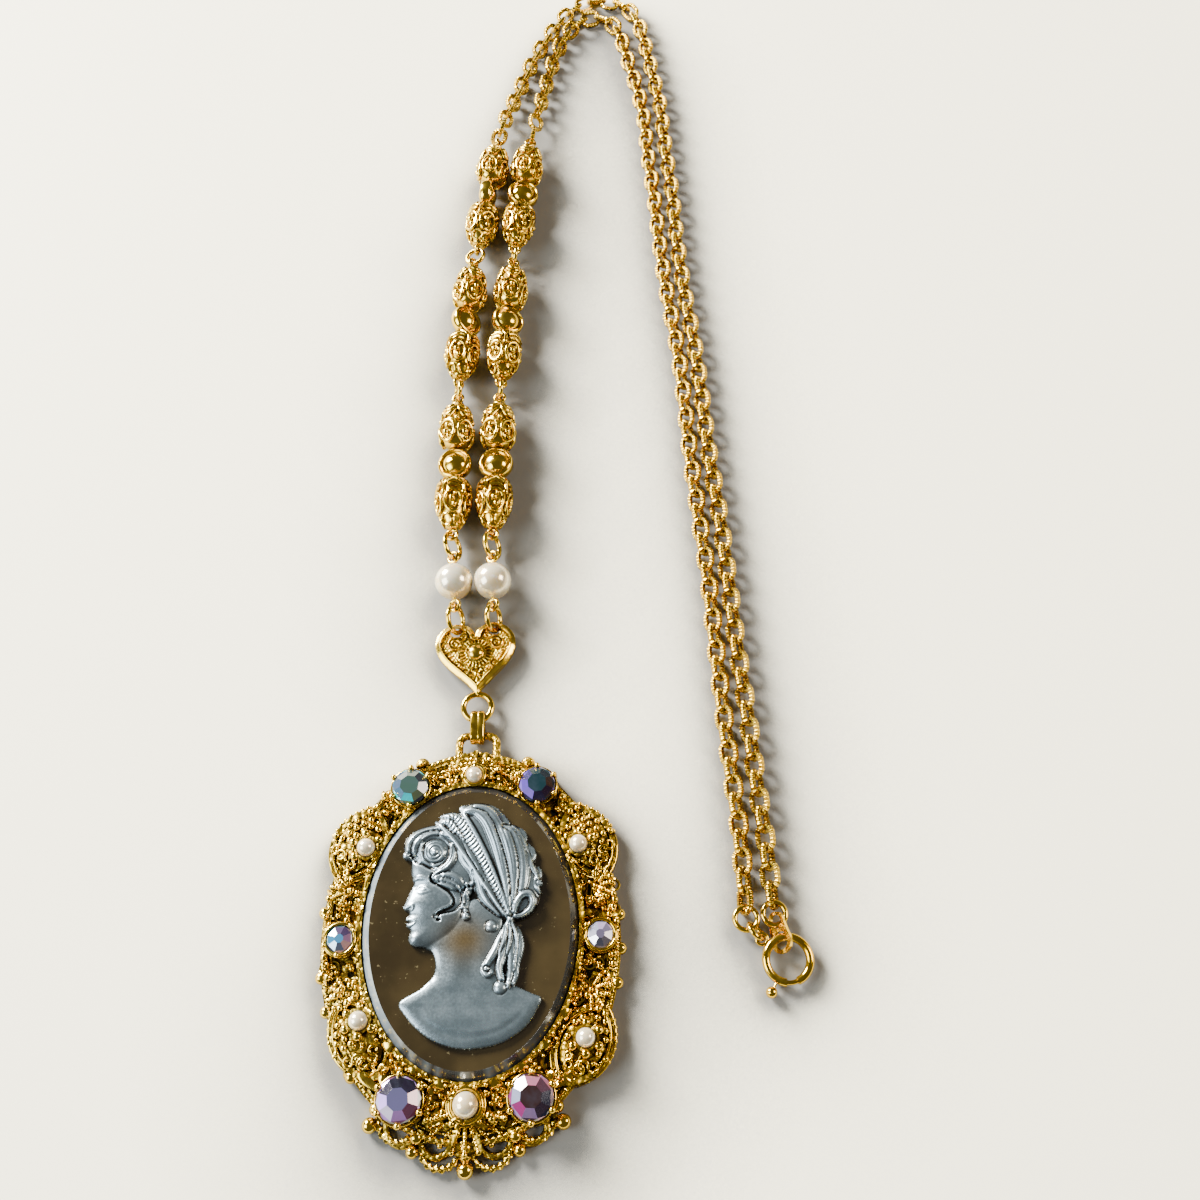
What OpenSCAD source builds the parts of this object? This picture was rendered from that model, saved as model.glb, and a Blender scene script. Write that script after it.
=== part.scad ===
// Cameo pendant on its necklace, laid flat: an oval gilt filigree frame with a moulded glass cameo,
// a heart connector, two strands of pearls and filigree bars, cable chain and a spring ring clasp.
// Millimetres, +Z up from the surface, +Y from the pendant towards the strands.
// The origin is the middle of the pendant's flat back.

/* [Cameo] */
// Width of the moulded glass oval
cameo_w = 30; // [29:0.1:31]
// Height of the moulded glass oval
cameo_h = 40; // [39:0.1:41]
// Thickness of the glass from its back to the girdle
cameo_side = 2.2; // [1.8:0.1:2.6]
// Rise of the bevel from the girdle to the flat ground
bevel_rise = 1.0; // [0.6:0.1:1.4]
// Width of the bevel, seen from the front
bevel_w = 1.2; // [0.8:0.1:1.6]
// Greatest rise of the relief above the ground
relief_rise = 2.2; // [1.6:0.1:2.6]
// Gap between the glass and the metal that holds it
glass_gap = 0.12; // [0.08:0.01:0.2]

/* [Frame] */
// Width of the frame without its edge balls
frame_w = 41.6; // [41:0.1:43]
// Height of the frame without its edge balls and loops
frame_h = 53.4; // [52.5:0.1:55]
// How far the frame's middle sits below the cameo's
frame_drop = 1.2; // [0.8:0.1:1.6]
// Thickness of the back plate
plate_t = 1.1; // [0.9:0.1:1.3]
// Thickness of the tray's floor under the glass
tray_t = 0.6; // [0.4:0.1:0.9]
// Height of the gallery wall round the glass
gallery_h = 3.2; // [2.6:0.1:3.6]
// Thickness of the gallery wall
gallery_t = 0.75; // [0.6:0.05:0.9]
// Width of the rope edging along the rim
edging_w = 1.0; // [0.8:0.1:1.3]
// Height of the rope edging
edging_h = 1.9; // [1.5:0.1:2.3]
// Diameter of an edge ball
ball_d = 1.7; // [1.3:0.1:1.9]
// Length of a filigree dome
dome_l = 12.2; // [11:0.1:13]
// Width of a filigree dome
dome_w = 8.2; // [7:0.1:8.8]
// Height of a filigree dome's middle
dome_h = 3.1; // [2.6:0.1:3.4]
// Diameter of the rope wire in the bottom loops
rope_d = 1.0; // [0.8:0.1:1.2]

/* [Stones and pearls] */
// Diameter of the two upper stones
upper_stone_d = 5.3; // [4.8:0.1:5.5]
// Diameter of the two middle stones
middle_stone_d = 3.8; // [3.4:0.1:4.0]
// Diameter of the two lower stones
lower_stone_d = 6.0; // [5.5:0.1:6.2]
// Diameter of the top pearl
top_pearl_d = 2.4; // [2.0:0.1:2.6]
// Diameter of the four dome pearls
dome_pearl_d = 2.6; // [2.2:0.1:2.9]
// Diameter of the bottom pearl
bottom_pearl_d = 3.4; // [3.0:0.1:3.6]
// Gap between a stone or pearl and its setting
setting_gap = 0.08; // [0.05:0.01:0.12]

/* [Heart and bail] */
// Width of the heart
heart_w = 12.4; // [11.5:0.1:12.8]
// Height of the heart
heart_h = 12.4; // [11.8:0.1:12.8]
// Thickness of the heart's plate
heart_t = 0.9; // [0.7:0.1:1.1]
// Height of the heart's raised rim above the plate
heart_rim = 0.7; // [0.4:0.1:0.9]
// Outer diameter of the ring at the heart's tip
heart_ring_d = 5.1; // [4.9:0.1:5.3]
// Wire diameter of the ring at the heart's tip
heart_wire = 0.85; // [0.75:0.05:0.95]
// Width of the fold-over bail
bail_w = 1.8; // [1.4:0.1:2.0]
// Thickness of the bail's band
bail_t = 0.42; // [0.35:0.01:0.46]
// Width of the rope loop on top of the frame
top_loop_w = 6.7; // [6.3:0.1:7.2]
// Wire diameter of the rope loop on top of the frame
top_loop_wire = 1.15; // [1.0:0.05:1.2]

/* [Strands] */
// Diameter of a strand pearl
pearl_d = 6.0; // [5.6:0.1:6.0]
// Drilling through a strand pearl
pearl_bore = 0.85; // [0.8:0.05:1.0]
// Wire diameter of the eye pins and eyes
eye_wire = 0.6; // [0.5:0.02:0.62]
// Outer diameter of an eye
eye_d = 2.3; // [2.26:0.02:2.5]
// Length of a filigree bead
bead_l = 9.3; // [9.0:0.1:9.4]
// Greatest diameter of a filigree bead
bead_d = 6.0; // [5.6:0.1:6.0]
// Distance between the two bead middles of a bar
bead_pitch = 15.3; // [15.1:0.1:15.5]
// Diameter of the domed button between a bar's beads
button_d = 5.6; // [5.2:0.1:5.8]
// Thickness of the button over both domes
button_t = 3.4; // [3.0:0.1:3.6]
// Outer diameter of a jump ring between two bars
bar_ring_d = 3.8; // [3.7:0.1:4.0]
// Outer diameter of a jump ring between a pearl and a bar
pearl_ring_d = 4.8; // [4.7:0.1:5.0]
// Outer diameter of a jump ring between the heart and a pearl
heart_jump_d = 4.6; // [4.5:0.1:4.7]
// Wire diameter of the jump rings
ring_wire = 0.6; // [0.5:0.02:0.62]

/* [Chain] */
// Outer length of a cable link
link_l = 4.15; // [4.05:0.01:4.3]
// Outer width of a cable link
link_w = 2.85; // [2.75:0.01:2.9]
// Wire diameter of a cable link
link_wire = 0.6; // [0.54:0.01:0.62]
// Play between two links
link_play = 0.2; // [0.18:0.01:0.22]

/* [Clasp] */
// Outer diameter of the spring ring
clasp_d = 7.3; // [7.1:0.1:7.5]
// Diameter of the spring ring's tube
tube_d = 1.16; // [1.1:0.02:1.2]
// Wall of the spring ring's tube
tube_wall = 0.16; // [0.14:0.01:0.18]
// Diameter of the curved bolt
bolt_d = 0.68; // [0.6:0.02:0.7]
// Diameter of the bolt's thumb ball
thumb_d = 1.6; // [1.4:0.1:1.7]
// How far the bolt draws back, in degrees round the ring
bolt_travel = 34; // [30:1:35]
// Outer diameter of the end ring on each chain
end_ring_d = 3.8; // [3.7:0.1:4.0]
// Width of the flat tag's wider end
tag_w = 3.6; // [3.5:0.1:3.7]
// Width of the flat tag's narrower end
tag_end_w = 2.8; // [2.7:0.1:2.9]
// Distance between the flat tag's two holes
tag_pitch = 2.65; // [2.6:0.05:2.7]
// Thickness of the flat tag
tag_t = 0.45; // [0.4:0.05:0.5]
// Wire diameter of the small link between the end ring and the clasp
clasp_link_wire = 0.54; // [0.5:0.02:0.56]

/* [Hidden] */

// Points chosen along each side, from the heart up its strand, over the top and down to the clasp
left_route = [
    [-3.7, 45.6], [-4.1, 53], [-4.6, 61], [-4.7, 68], [-4.7, 75], [-4.6, 82], [-4.5, 90], [-4.3, 97],
    [-3.8, 104.5], [-3.2, 112], [-2.5, 119.5], [-1.6, 127], [-0.7, 134], [0.3, 142], [1.5, 151],
    [4.1, 161.5], [7.4, 172], [11, 180.2], [14.6, 186.2], [17.8, 189.2], [21.6, 190.4], [25.3, 189.3],
    [28, 186.5], [29.6, 182], [30.7, 175.5], [31.6, 169], [32.8, 160], [33.4, 148], [34.2, 136],
    [34.6, 124], [35.4, 112], [36.5, 101], [37.2, 90], [37.8, 78], [38.8, 66], [39.5, 54],
    [40.1, 42], [40.9, 31], [41.5, 20], [42.1, 12], [42.5, 1.3]
];
right_route = [
    [2.3, 45.6], [2.0, 53], [1.8, 61], [1.8, 68], [2.1, 75], [2.3, 82], [2.6, 90], [3.0, 97],
    [3.5, 104.5], [4.1, 112], [4.6, 119.5], [5.2, 127], [5.9, 134], [6.7, 142], [7.9, 151],
    [9.4, 161], [11.4, 171], [13.4, 177.8], [15.6, 182], [18.6, 184.7], [22, 184.7], [24.6, 182],
    [25.9, 177.5], [27.2, 170.5], [28.7, 163], [29.6, 155], [29.9, 147], [30.7, 136],
    [31.3, 124], [32.2, 112], [33.4, 101], [34.1, 90], [34.6, 78], [35.4, 66], [36.3, 54],
    [36.8, 42], [37.3, 31], [38.0, 20], [38.5, 12], [38.5, 0.7]
];

// Smoothness of round shapes, and of the oval outlines
$fn = 48;
oval_sides = 72;
// A length that runs past a face to cut cleanly, and a cutter taller than any setting
past = 1;
cutter_h = 9;

// Heights of the glass
glass_z = tray_t + glass_gap;
girdle_z = glass_z + cameo_side;
ground_z = girdle_z + bevel_rise;
band_w = (frame_w - cameo_w) / 2;

// Each pearl: turn round the oval, share of the band beyond the glass, height of its middle, diameter
PEARLS = [
    [90, 0.29, 3.5, top_pearl_d], [150, 0.42, 3.6, dome_pearl_d], [30, 0.42, 3.6, dome_pearl_d],
    [213, 0.42, 3.6, dome_pearl_d], [-37, 0.82, 3.6, dome_pearl_d], [-90, 0.5, 3.2, bottom_pearl_d]
];
// Each stone: turn, share of the band, height of its girdle, diameter, and whether prongs hold it
STONES = [
    [120.5, 0.54, 3.8, upper_stone_d, true], [59.5, 0.54, 3.8, upper_stone_d, true],
    [183.5, 0.52, 2.9, middle_stone_d, false], [-3.5, 0.52, 2.9, middle_stone_d, false],
    [244, 0.8, 3.8, lower_stone_d, true], [-64, 0.8, 3.8, lower_stone_d, true]
];
// Each dome: turn round the oval, share of the band beyond the glass
DOMES = [[150, 0.68], [30, 0.68], [218, 0.58], [-39, 0.84]];
// Turns round the rim at which the edge balls sit
BALLS = [43, 6, -4, -14, -34, -55, -72, -90, -108, -125, -138, -149, -159, -169, 172, 137];
// Turns round the oval at which the open gaps are cut
GAPS = [-50, 230, 12, 168, -16, 196, 46, 134, -27];
gap_l = 2.8;
gap_w = 0.9;
gap_share = 0.36;
// Each small ribbed fan: turn round the oval, share of the band
SMALL_FANS = [[14, 0.5], [-22, 0.5], [166, 0.5], [202, 0.5]];
small_fan_r = 2.5;
small_fan_h = 2.3;
small_fan_ribs = 5;
big_fan_ribs = 7;
bottom_fan_r = 5.4;
bottom_fan_h = 2.5;
bottom_fan_share = 0.62;
crest_r = 3.9;
crest_h = 2.6;
crest_in = 3.7;
fan_rib = 0.6;
rib_from = 0.35;
rib_span = 0.66;
// Steps of a dome: foot plate, raised edge, and the bulging middle within it
dome_foot = 0.5;
dome_edge = 1.1;
dome_edge_in = 0.5;
dome_edge_l = 1.8;
dome_edge_w = 1.4;
dome_cap_l = 3.2;
dome_cap_w = 2.6;
// Height of the edge balls' lowest points, and the two knobs beside the top loop
ball_lift = 0.5;
knob_x = 7.8;
knob_in = 1.7;
knob_r = 1.05;
// Rope loops along the bottom edge: distance from the middle, height above the rim's lowest point, radius
LOWER_LOOPS = [[8.3, 2.7, 2.3], [3.9, 0.9, 2.0]];
rope_lift = 0.1;
rope_inside = 0.15;
// Girdle, crown, pavilion, table and culet of a cut stone, the last four as shares of its diameter
girdle_t = 0.2;
crown_share = 0.22;
pavilion_share = 0.38;
table_share = 0.52;
culet_share = 0.1;
mid_crown_share = 0.55;
mid_crown_w = 0.84;
cut_sides = 10;
facet_t = 0.02;
// Cups: prongs round a stone, a plain wall round a pearl or a bezel
prongs = 6;
prong_d = 0.7;
prong_out = 0.22;
prong_rise = 0.5;
prong_cup_share = 0.44;
prong_cup_drop = 0.55;
prong_foot_w = 0.45;
prong_foot_h = 0.5;
cup_wall = 0.42;
bezel_rise = 0.35;
collar_h = 2.9;
collar_in = 0.45;
collar_out = 0.85;

// Top loop, bail and heart, worked out upwards from the frame
seat_gap = 0.15;
// How high the bail's back stays above the surface, and how far short of its reach the heart's ring hangs
bail_lift = 0.1;
bail_slack = 0.25;
link_z = bail_t + 3 * seat_gap + top_loop_wire / 2 + bail_lift;
loop_rise = 2.8;
loop_top_y = frame_h / 2 - frame_drop + loop_rise;
bail_r = top_loop_wire / 2 + seat_gap;
bail_reach = 2.75;
bail_x = 0.1;
groove_d = 0.1;
groove_w = 0.18;
GROOVES = [0.25, 0.65];
loop_x = 0.25;
loop_corner = 1.3;
loop_foot = 4.6;
heart_ring_r = (heart_ring_d - heart_wire) / 2;
heart_ring_y = loop_top_y + bail_reach - bail_slack + heart_ring_r;
// Height of the heart's ring that the routes were chosen for, and how far they move with it
route_ring_y = 32.925;
route_shift = [0, heart_ring_y - route_ring_y];
heart_turn = 3;
// How far outside its ring's opening the heart's tip ends, and the shares of its size at which its holes sit
tip_gap = 0.05;
hole_side = 0.235;
hole_up = 0.88;
heart_tip = heart_ring_r - heart_wire / 2 + tip_gap;
heart_hole_x = hole_side * heart_w;
heart_hole_y = heart_tip + hole_up * heart_h;
heart_hole_d = 1.9;
// How far below a hole's middle the jump ring's wire passes it
hang = 0.2;
// The heart's rim, boss and flower: shares of its size, and heights above the plate
heart_rim_share = 0.8;
heart_rim_up = 0.09;
boss_up = 0.57;
boss_share = 0.36;
boss_rise = 0.3;
bead_share = 0.18;
flower_up = 0.3;
flower_share = 0.2;
flower_rise = 0.4;
heart_z = link_z - heart_t / 2;
heart_hole_z = heart_z + (heart_t + heart_rim) / 2;

// Strand sizes: how high the beads stay above the surface, and how deep an eye sinks into a bar's end
bead_lift = 0.05;
eye_sink = 0.15;
strand_z = max(bead_d, pearl_d) / 2 + bead_lift;
eye_r = (eye_d - eye_wire) / 2;
eye_past = 0.1;
pearl_reach = pearl_d / 2 + eye_past + eye_d / 2;
bar_reach = (bead_pitch + bead_l) / 2 - eye_sink + eye_d / 2;
bar_core_d = 0.9;
pin_share = 0.92;
// Rim round the button's two domes
button_rim_w = 0.25;
button_rim_h = 1.2;
button_step = 0.5;
bar_ring_r = (bar_ring_d - ring_wire) / 2;
pearl_ring_r = (pearl_ring_d - ring_wire) / 2;
heart_jump_r = (heart_jump_d - ring_wire) / 2;
// Section of a filigree bead from its outer to its inner end: share of the length, share of the radius
BEAD = [
    [0, 0.28], [0.08, 0.52], [0.24, 0.79], [0.45, 0.95], [0.66, 1], [0.86, 0.9], [0.96, 0.66], [1, 0.36]
];
// Turn of each bar about its own length, and of the rings between them
left_rolls = [-12, 45, 85];
right_rolls = [-8, 25, 10];
left_ring_rolls = [108, 160];
pin_turn = -30;
heart_jump_turn = 64;
pearl_jump_turn = 62;
right_ring_rolls = [100, 105];

// Chain sizes
link_r = (link_w - link_wire) / 2;
link_straight = link_l - link_w;
link_reach = (link_l - link_wire) / 2;
link_pitch = link_l - 2 * link_wire - link_play;
// Turns of the links about the chain's length: the two that alternate, those at the last end, and the
// first two of each chain, which suit the eye they hang from
flat_turn = 38;
steep_turn = -52;
end_turn = 60;
left_first_turns = [-5, -70];
right_first_turns = [-80, 38];
link_lift = 0.03;
chain_z = link_r * sin(end_turn) + link_wire / 2 + link_lift;

// Clasp: the spring ring leans, so that its tube passes through the tag and its thumb ball rests
clasp_at = [43.9, -5.0] + route_shift;
clasp_r = (clasp_d - tube_d) / 2;
clasp_z = 1.3;
lean_towards = 105;
lean = 5.5;
// Turns round the spring ring: where the tag hangs, its fixed eye, its opening and the thumb ball
tag_at = 105;
eye_at = 141;
gap_from = 262;
gap_span = 30;
thumb_at = 239;
// The bolt: its tail behind the thumb ball, its grip in the far end, and room round both, in degrees
bolt_tail = 7;
bolt_grip = 5;
bolt_room = 3;
bolt_from = thumb_at - bolt_tail;
bolt_to = gap_from + gap_span + bolt_grip;
slot_w = 0.5;
slot_room = 5;
neck_d = 0.34;
thumb_reach = 1.35;
tube_bore = tube_d - 2 * tube_wall;
clasp_eye_r = 0.75;
clasp_eye_wire = 0.5;
clasp_eye_off = 0.05;
clasp_eye_reach = clasp_d / 2 + clasp_eye_r + clasp_eye_off;
clasp_link_turn = 60;
end_ring_r = (end_ring_d - ring_wire) / 2;
// The tag's holes for the tube and for the end ring, the share of its ends' width that its sides
// keep, and its turn about its own length
tag_hole_r = 1.25;
tag_end_hole_r = 0.97;
tag_waist = 0.96;
tag_turn = 50;

// A point round the glass: turn on the oval, share of the band beyond the glass's edge
function round_glass(turn, share) = [
    (cameo_w / 2 + share * band_w) * cos(turn),
    (cameo_h / 2 + share * band_w) * sin(turn)
];
// Direction outwards from the oval at a turn
function outward(turn) = atan2(sin(turn) * cameo_w, cos(turn) * cameo_h);
rim_top = frame_h / 2 - frame_drop;
function round_rim(turn) = [frame_w / 2 * cos(turn), frame_h / 2 * sin(turn) - frame_drop];
function oval_points(w, h) = [
    for (k = [0:oval_sides - 1]) [w / 2 * cos(360 * k / oval_sides), h / 2 * sin(360 * k / oval_sides)]
];
// Outline of a heart standing on its tip: its corners, its middle's height and its waves, the last two as
// shares of its height
heart_sides = 48;
heart_middle = 0.575;
heart_waves = [0.471, -0.1522, -0.058, -0.0254];
function heart_points(w, h) = [
    for (k = [0:heart_sides - 1]) let (a = 360 * k / heart_sides) [
        w / 2 * pow(sin(a), 3),
        h * (heart_middle + heart_waves * [cos(a), cos(2 * a), cos(3 * a), cos(4 * a)])
    ]
];

// Smooth curve through chosen points, as a table of running length and place
function between(p0, p1, p2, p3, t) = 0.5 * (
    2 * p1 + (p2 - p0) * t + (2 * p0 - 5 * p1 + 4 * p2 - p3) * t * t
    + (3 * p1 - p0 - 3 * p2 + p3) * t * t * t
);
steps = 8;
function smooth(pts) = let (last = len(pts) - 1) concat(
    [for (k = [0:last - 1], j = [0:steps - 1]) between(
        pts[max(k - 1, 0)], pts[k], pts[k + 1], pts[min(k + 2, last)], j / steps
    )],
    [pts[last]]
);
function lengths(curve) = [
    for (k = 0, s = 0;
        k < len(curve);
        k = k + 1, s = s + (k < len(curve) ? norm(curve[k] - curve[k - 1]) : 0)) s
];
function table(curve, axis) = let (run = lengths(curve))
    [for (k = [0:len(curve) - 1]) [run[k], curve[k][axis]]];
left_curve = smooth([for (p = left_route) p + route_shift]);
right_curve = smooth([for (p = right_route) p + route_shift]);
LEFT = [table(left_curve, 0), table(left_curve, 1)];
RIGHT = [table(right_curve, 0), table(right_curve, 1)];
function run_end(side) = side[0][len(side[0]) - 1][0];

// Stations along a side, from the heart: pearl, bars, then the chain
function pearl_s() = sqrt(pow(2 * heart_jump_r, 2) - pow(strand_z - heart_hole_z, 2)) + pearl_reach;
function bar_s(k) = pearl_s() + pearl_reach + 2 * pearl_ring_r + bar_reach
    + k * (2 * bar_reach + 2 * bar_ring_r);
function chain_s() = bar_s(2) + bar_reach;
// The chain sinks from the strand's height to its own, from a little after its first link
drop_from = 2;
drop_run = 16;
function height(s) = let (t = max(0, min(1, (s - chain_s() - drop_from) / drop_run)))
    strand_z + (chain_z - strand_z) * (3 * t * t - 2 * t * t * t);
function place(side, s) = [lookup(s, side[0]), lookup(s, side[1]), height(s)];
function heading(side, s, half) = place(side, s + half) - place(side, s - half);
function unit(v) = v / norm(v);
// Middle of eye number e (-1 below, 1 above) of a piece at s with the given reach
function eye_place(side, s, reach, e) = place(side, s) + e * reach * unit(heading(side, s, reach));

// Chain: links from the top bar's eye to the end ring
function chain_start(side) = chain_s() + link_reach;
function chain_stop(side) = run_end(side) - end_ring_r - link_reach + link_wire + link_play;
function link_count(side) = round((chain_stop(side) - chain_start(side)) / link_pitch) + 1;
function link_s(side, k) = chain_start(side)
    + k * (chain_stop(side) - chain_start(side)) / (link_count(side) - 1);
// Turn of link k: the first ones suit the eye they hang from, the last the end ring
function link_turn(k, n, first_turns) =
    k < len(first_turns) ? first_turns[k]
    : k == n - 1 ? (k % 2 == 0 ? end_turn : -end_turn)
    : k % 2 == 0 ? flat_turn : steep_turn;

// Puts a shape lying along +X onto a place, heading and turn about its own length
module laid(at, along, turn) {
    flat = norm([along[0], along[1]]);
    translate(at) rotate([0, -atan2(along[2], flat), atan2(along[1], along[0])])
        rotate([turn, 0, 0]) children();
}
module torus(r, wire) rotate_extrude() translate([r, 0]) circle(wire / 2);
module arc(r, wire, span) rotate_extrude(angle = span) translate([r, 0]) circle(wire / 2);
// A round ring whose wire passes through two places, turned about the line between them
module ring_through(a, b, r, wire, turn) laid((a + b) / 2, b - a, turn) torus(r, wire);
module oval(w, h) polygon(oval_points(w, h));
module heart_outline(w, h) polygon(heart_points(w, h));
module pointed_oval(l, w) {
    r = (l * l + w * w) / (4 * w);
    intersection() {
        translate([0, w / 2 - r]) circle(r);
        translate([0, r - w / 2]) circle(r);
    }
}

// Back plate, gallery wall round the glass and rope edging
module frame_body() {
    translate([0, -frame_drop, 0]) {
        linear_extrude(plate_t) oval(frame_w, frame_h);
        linear_extrude(edging_h) difference() {
            oval(frame_w, frame_h);
            oval(frame_w - 2 * edging_w, frame_h - 2 * edging_w);
        }
    }
    linear_extrude(gallery_h)
        oval(cameo_w + 2 * (glass_gap + gallery_t), cameo_h + 2 * (glass_gap + gallery_t));
}
module dome() {
    linear_extrude(plate_t + dome_foot) pointed_oval(dome_l, dome_w);
    linear_extrude(plate_t + dome_edge) difference() {
        pointed_oval(dome_l - dome_edge_in, dome_w - dome_edge_in);
        pointed_oval(dome_l - dome_edge_in - dome_edge_l, dome_w - dome_edge_in - dome_edge_w);
    }
    intersection() {
        linear_extrude(dome_h + past) pointed_oval(dome_l - dome_cap_l, dome_w - dome_cap_w);
        translate([0, 0, dome_h - dome_w]) sphere(dome_w);
    }
}
module domes() {
    for (d = DOMES)
        translate(round_glass(d[0], d[1])) rotate(outward(d[0]) + 90) dome();
}
// Ribbed fans under the bottom pearl and beside the middle stones
module fan(r, h, ribs) {
    linear_extrude(h - fan_rib) circle(r);
    for (k = [0:ribs - 1])
        rotate(180 * (k + 0.5) / ribs + 180)
            translate([r * rib_from, -fan_rib / 2, 0]) cube([r * rib_span, fan_rib, h]);
}
module fans() {
    translate(round_glass(-90, bottom_fan_share)) fan(bottom_fan_r, bottom_fan_h, big_fan_ribs);
    for (f = SMALL_FANS)
        translate(round_glass(f[0], f[1])) rotate(outward(f[0]) + 90)
            fan(small_fan_r, small_fan_h, small_fan_ribs);
    translate([0, rim_top - crest_in, 0]) rotate(180) fan(crest_r, crest_h, big_fan_ribs);
}
module balls() {
    for (turn = BALLS)
        translate(concat(round_rim(turn), ball_d / 2 + ball_lift)) sphere(ball_d / 2);
    for (side = [-1, 1])
        translate([side * knob_x, rim_top - knob_in, edging_h]) sphere(knob_r);
}
// Rope loops along the bottom edge, with crescents open between them and the settings
function loop_place(side, l) = [side * l[0], l[1] - frame_h / 2 - frame_drop];
module lower_loops() {
    for (side = [-1, 1], l = LOWER_LOOPS)
        translate(concat(loop_place(side, l), rope_d / 2 + rope_lift)) torus(l[2], rope_d);
}
module lower_loop_holes() {
    for (side = [-1, 1], l = LOWER_LOOPS)
        translate(concat(loop_place(side, l), -past)) cylinder(r = l[2] - rope_inside, h = cutter_h);
}
module gaps() {
    for (turn = GAPS)
        translate(concat(round_glass(turn, gap_share), -past)) rotate(outward(turn) + 90)
            linear_extrude(cutter_h) pointed_oval(gap_l, gap_w);
}
// D-shaped rope loop that the bail folds over
module top_loop() {
    side_x = (top_loop_w - top_loop_wire) / 2;
    translate([loop_x, loop_top_y, link_z]) {
        translate([loop_corner - side_x, 0, 0]) rotate([0, 90, 0])
            cylinder(d = top_loop_wire, h = 2 * (side_x - loop_corner));
        for (s = [-1, 1]) {
            translate([s * (side_x - loop_corner), -loop_corner, 0])
                rotate(s > 0 ? 0 : 90) arc(loop_corner, top_loop_wire, 90);
            translate([s * side_x, -loop_corner, 0]) rotate([90, 0, 0])
                cylinder(d = top_loop_wire, h = loop_foot - loop_corner);
        }
    }
}
module prong_cup(d, z) {
    cylinder(r = d * prong_cup_share, h = z - prong_cup_drop);
    cylinder(r = d / 2 + prong_foot_w, h = plate_t + prong_foot_h);
    for (k = [0:prongs - 1])
        rotate(360 * (k + 0.5) / prongs) translate([d / 2 + prong_out, 0, 0])
            cylinder(d = prong_d, h = z + prong_rise);
}
module cups() {
    for (p = PEARLS)
        translate(round_glass(p[0], p[1])) cylinder(d = p[3] + 2 * cup_wall, h = p[2]);
    translate(round_glass(-90, PEARLS[5][1])) linear_extrude(collar_h) difference() {
        circle(bottom_pearl_d / 2 + collar_out);
        circle(bottom_pearl_d / 2 + collar_in);
    }
    for (s = STONES)
        translate(round_glass(s[0], s[1])) {
            if (s[4]) prong_cup(s[3], s[2]);
            else cylinder(d = s[3] + 2 * cup_wall, h = s[2] + bezel_rise);
        }
}
// Space for a stone below its girdle and above it
module stone_seat(d) {
    culet_z = -pavilion_share * d - setting_gap;
    girdle = -girdle_t / 2 - setting_gap;
    translate([0, 0, culet_z])
        cylinder(r1 = culet_share * d / 2 + setting_gap, r2 = d / 2 + setting_gap, h = girdle - culet_z);
    translate([0, 0, girdle]) cylinder(r = d / 2 + setting_gap, h = cutter_h);
}
// Space for the glass, pearls and stones, cut from the soldered frame
module seats() {
    translate([0, 0, tray_t]) linear_extrude(cutter_h)
        oval(cameo_w + 2 * glass_gap, cameo_h + 2 * glass_gap);
    for (p = PEARLS)
        translate(concat(round_glass(p[0], p[1]), p[2])) sphere(p[3] / 2 + setting_gap);
    for (s = STONES)
        translate(concat(round_glass(s[0], s[1]), s[2])) stone_seat(s[3]);
}
module frame() {
    color("goldenrod") difference() {
        union() {
            difference() {
                union() {
                    frame_body();
                    fans();
                }
                lower_loop_holes();
                gaps();
            }
            domes();
            balls();
            lower_loops();
            top_loop();
            cups();
        }
        seats();
    }
}

// Moulded glass cameo: bevelled oval ground with a raised bust in left profile
// Outlines of the relief: share of the glass's width and height from its middle
BUST = [
    [-0.33, -0.215], [-0.3, -0.2], [-0.2, -0.175], [-0.14, -0.145], [-0.115, -0.1], [-0.1, -0.03],
    [0.13, -0.02], [0.15, -0.11], [0.2, -0.16], [0.3, -0.195], [0.345, -0.215], [0.27, -0.285],
    [0.14, -0.345], [0, -0.36], [-0.14, -0.345], [-0.26, -0.29]
];
FACE = [
    [-0.1, -0.06], [-0.16, -0.085], [-0.225, -0.08], [-0.245, -0.045], [-0.235, -0.025], [-0.262, -0.008],
    [-0.245, 0.012], [-0.262, 0.028], [-0.25, 0.05], [-0.3, 0.075], [-0.262, 0.13], [-0.25, 0.165],
    [-0.262, 0.23], [-0.23, 0.3], [-0.05, 0.33], [0.1, 0.2], [0.15, -0.06]
];
HAIR = [
    [-0.26, 0.24], [-0.255, 0.3], [-0.2, 0.345], [-0.1, 0.39], [0, 0.43], [0.08, 0.435], [0.17, 0.4],
    [0.24, 0.33], [0.255, 0.25], [0.25, 0.14], [0.19, 0.07], [0.13, 0.02], [0.06, 0.03], [-0.02, 0.06],
    [-0.05, 0.12], [-0.09, 0.2], [-0.16, 0.22]
];
KNOT = [0.12, 0.035];
// Each curl: place and radius as shares of the glass's width and height
CURLS = [
    [-0.12, 0.25, 0.062], [-0.22, 0.275, 0.034], [0.2, 0.1, 0.05], [0.075, 0.015, 0.034],
    [0.1, -0.14, 0.04]
];
function on_glass(p) = [p[0] * cameo_w, p[1] * cameo_h];
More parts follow.
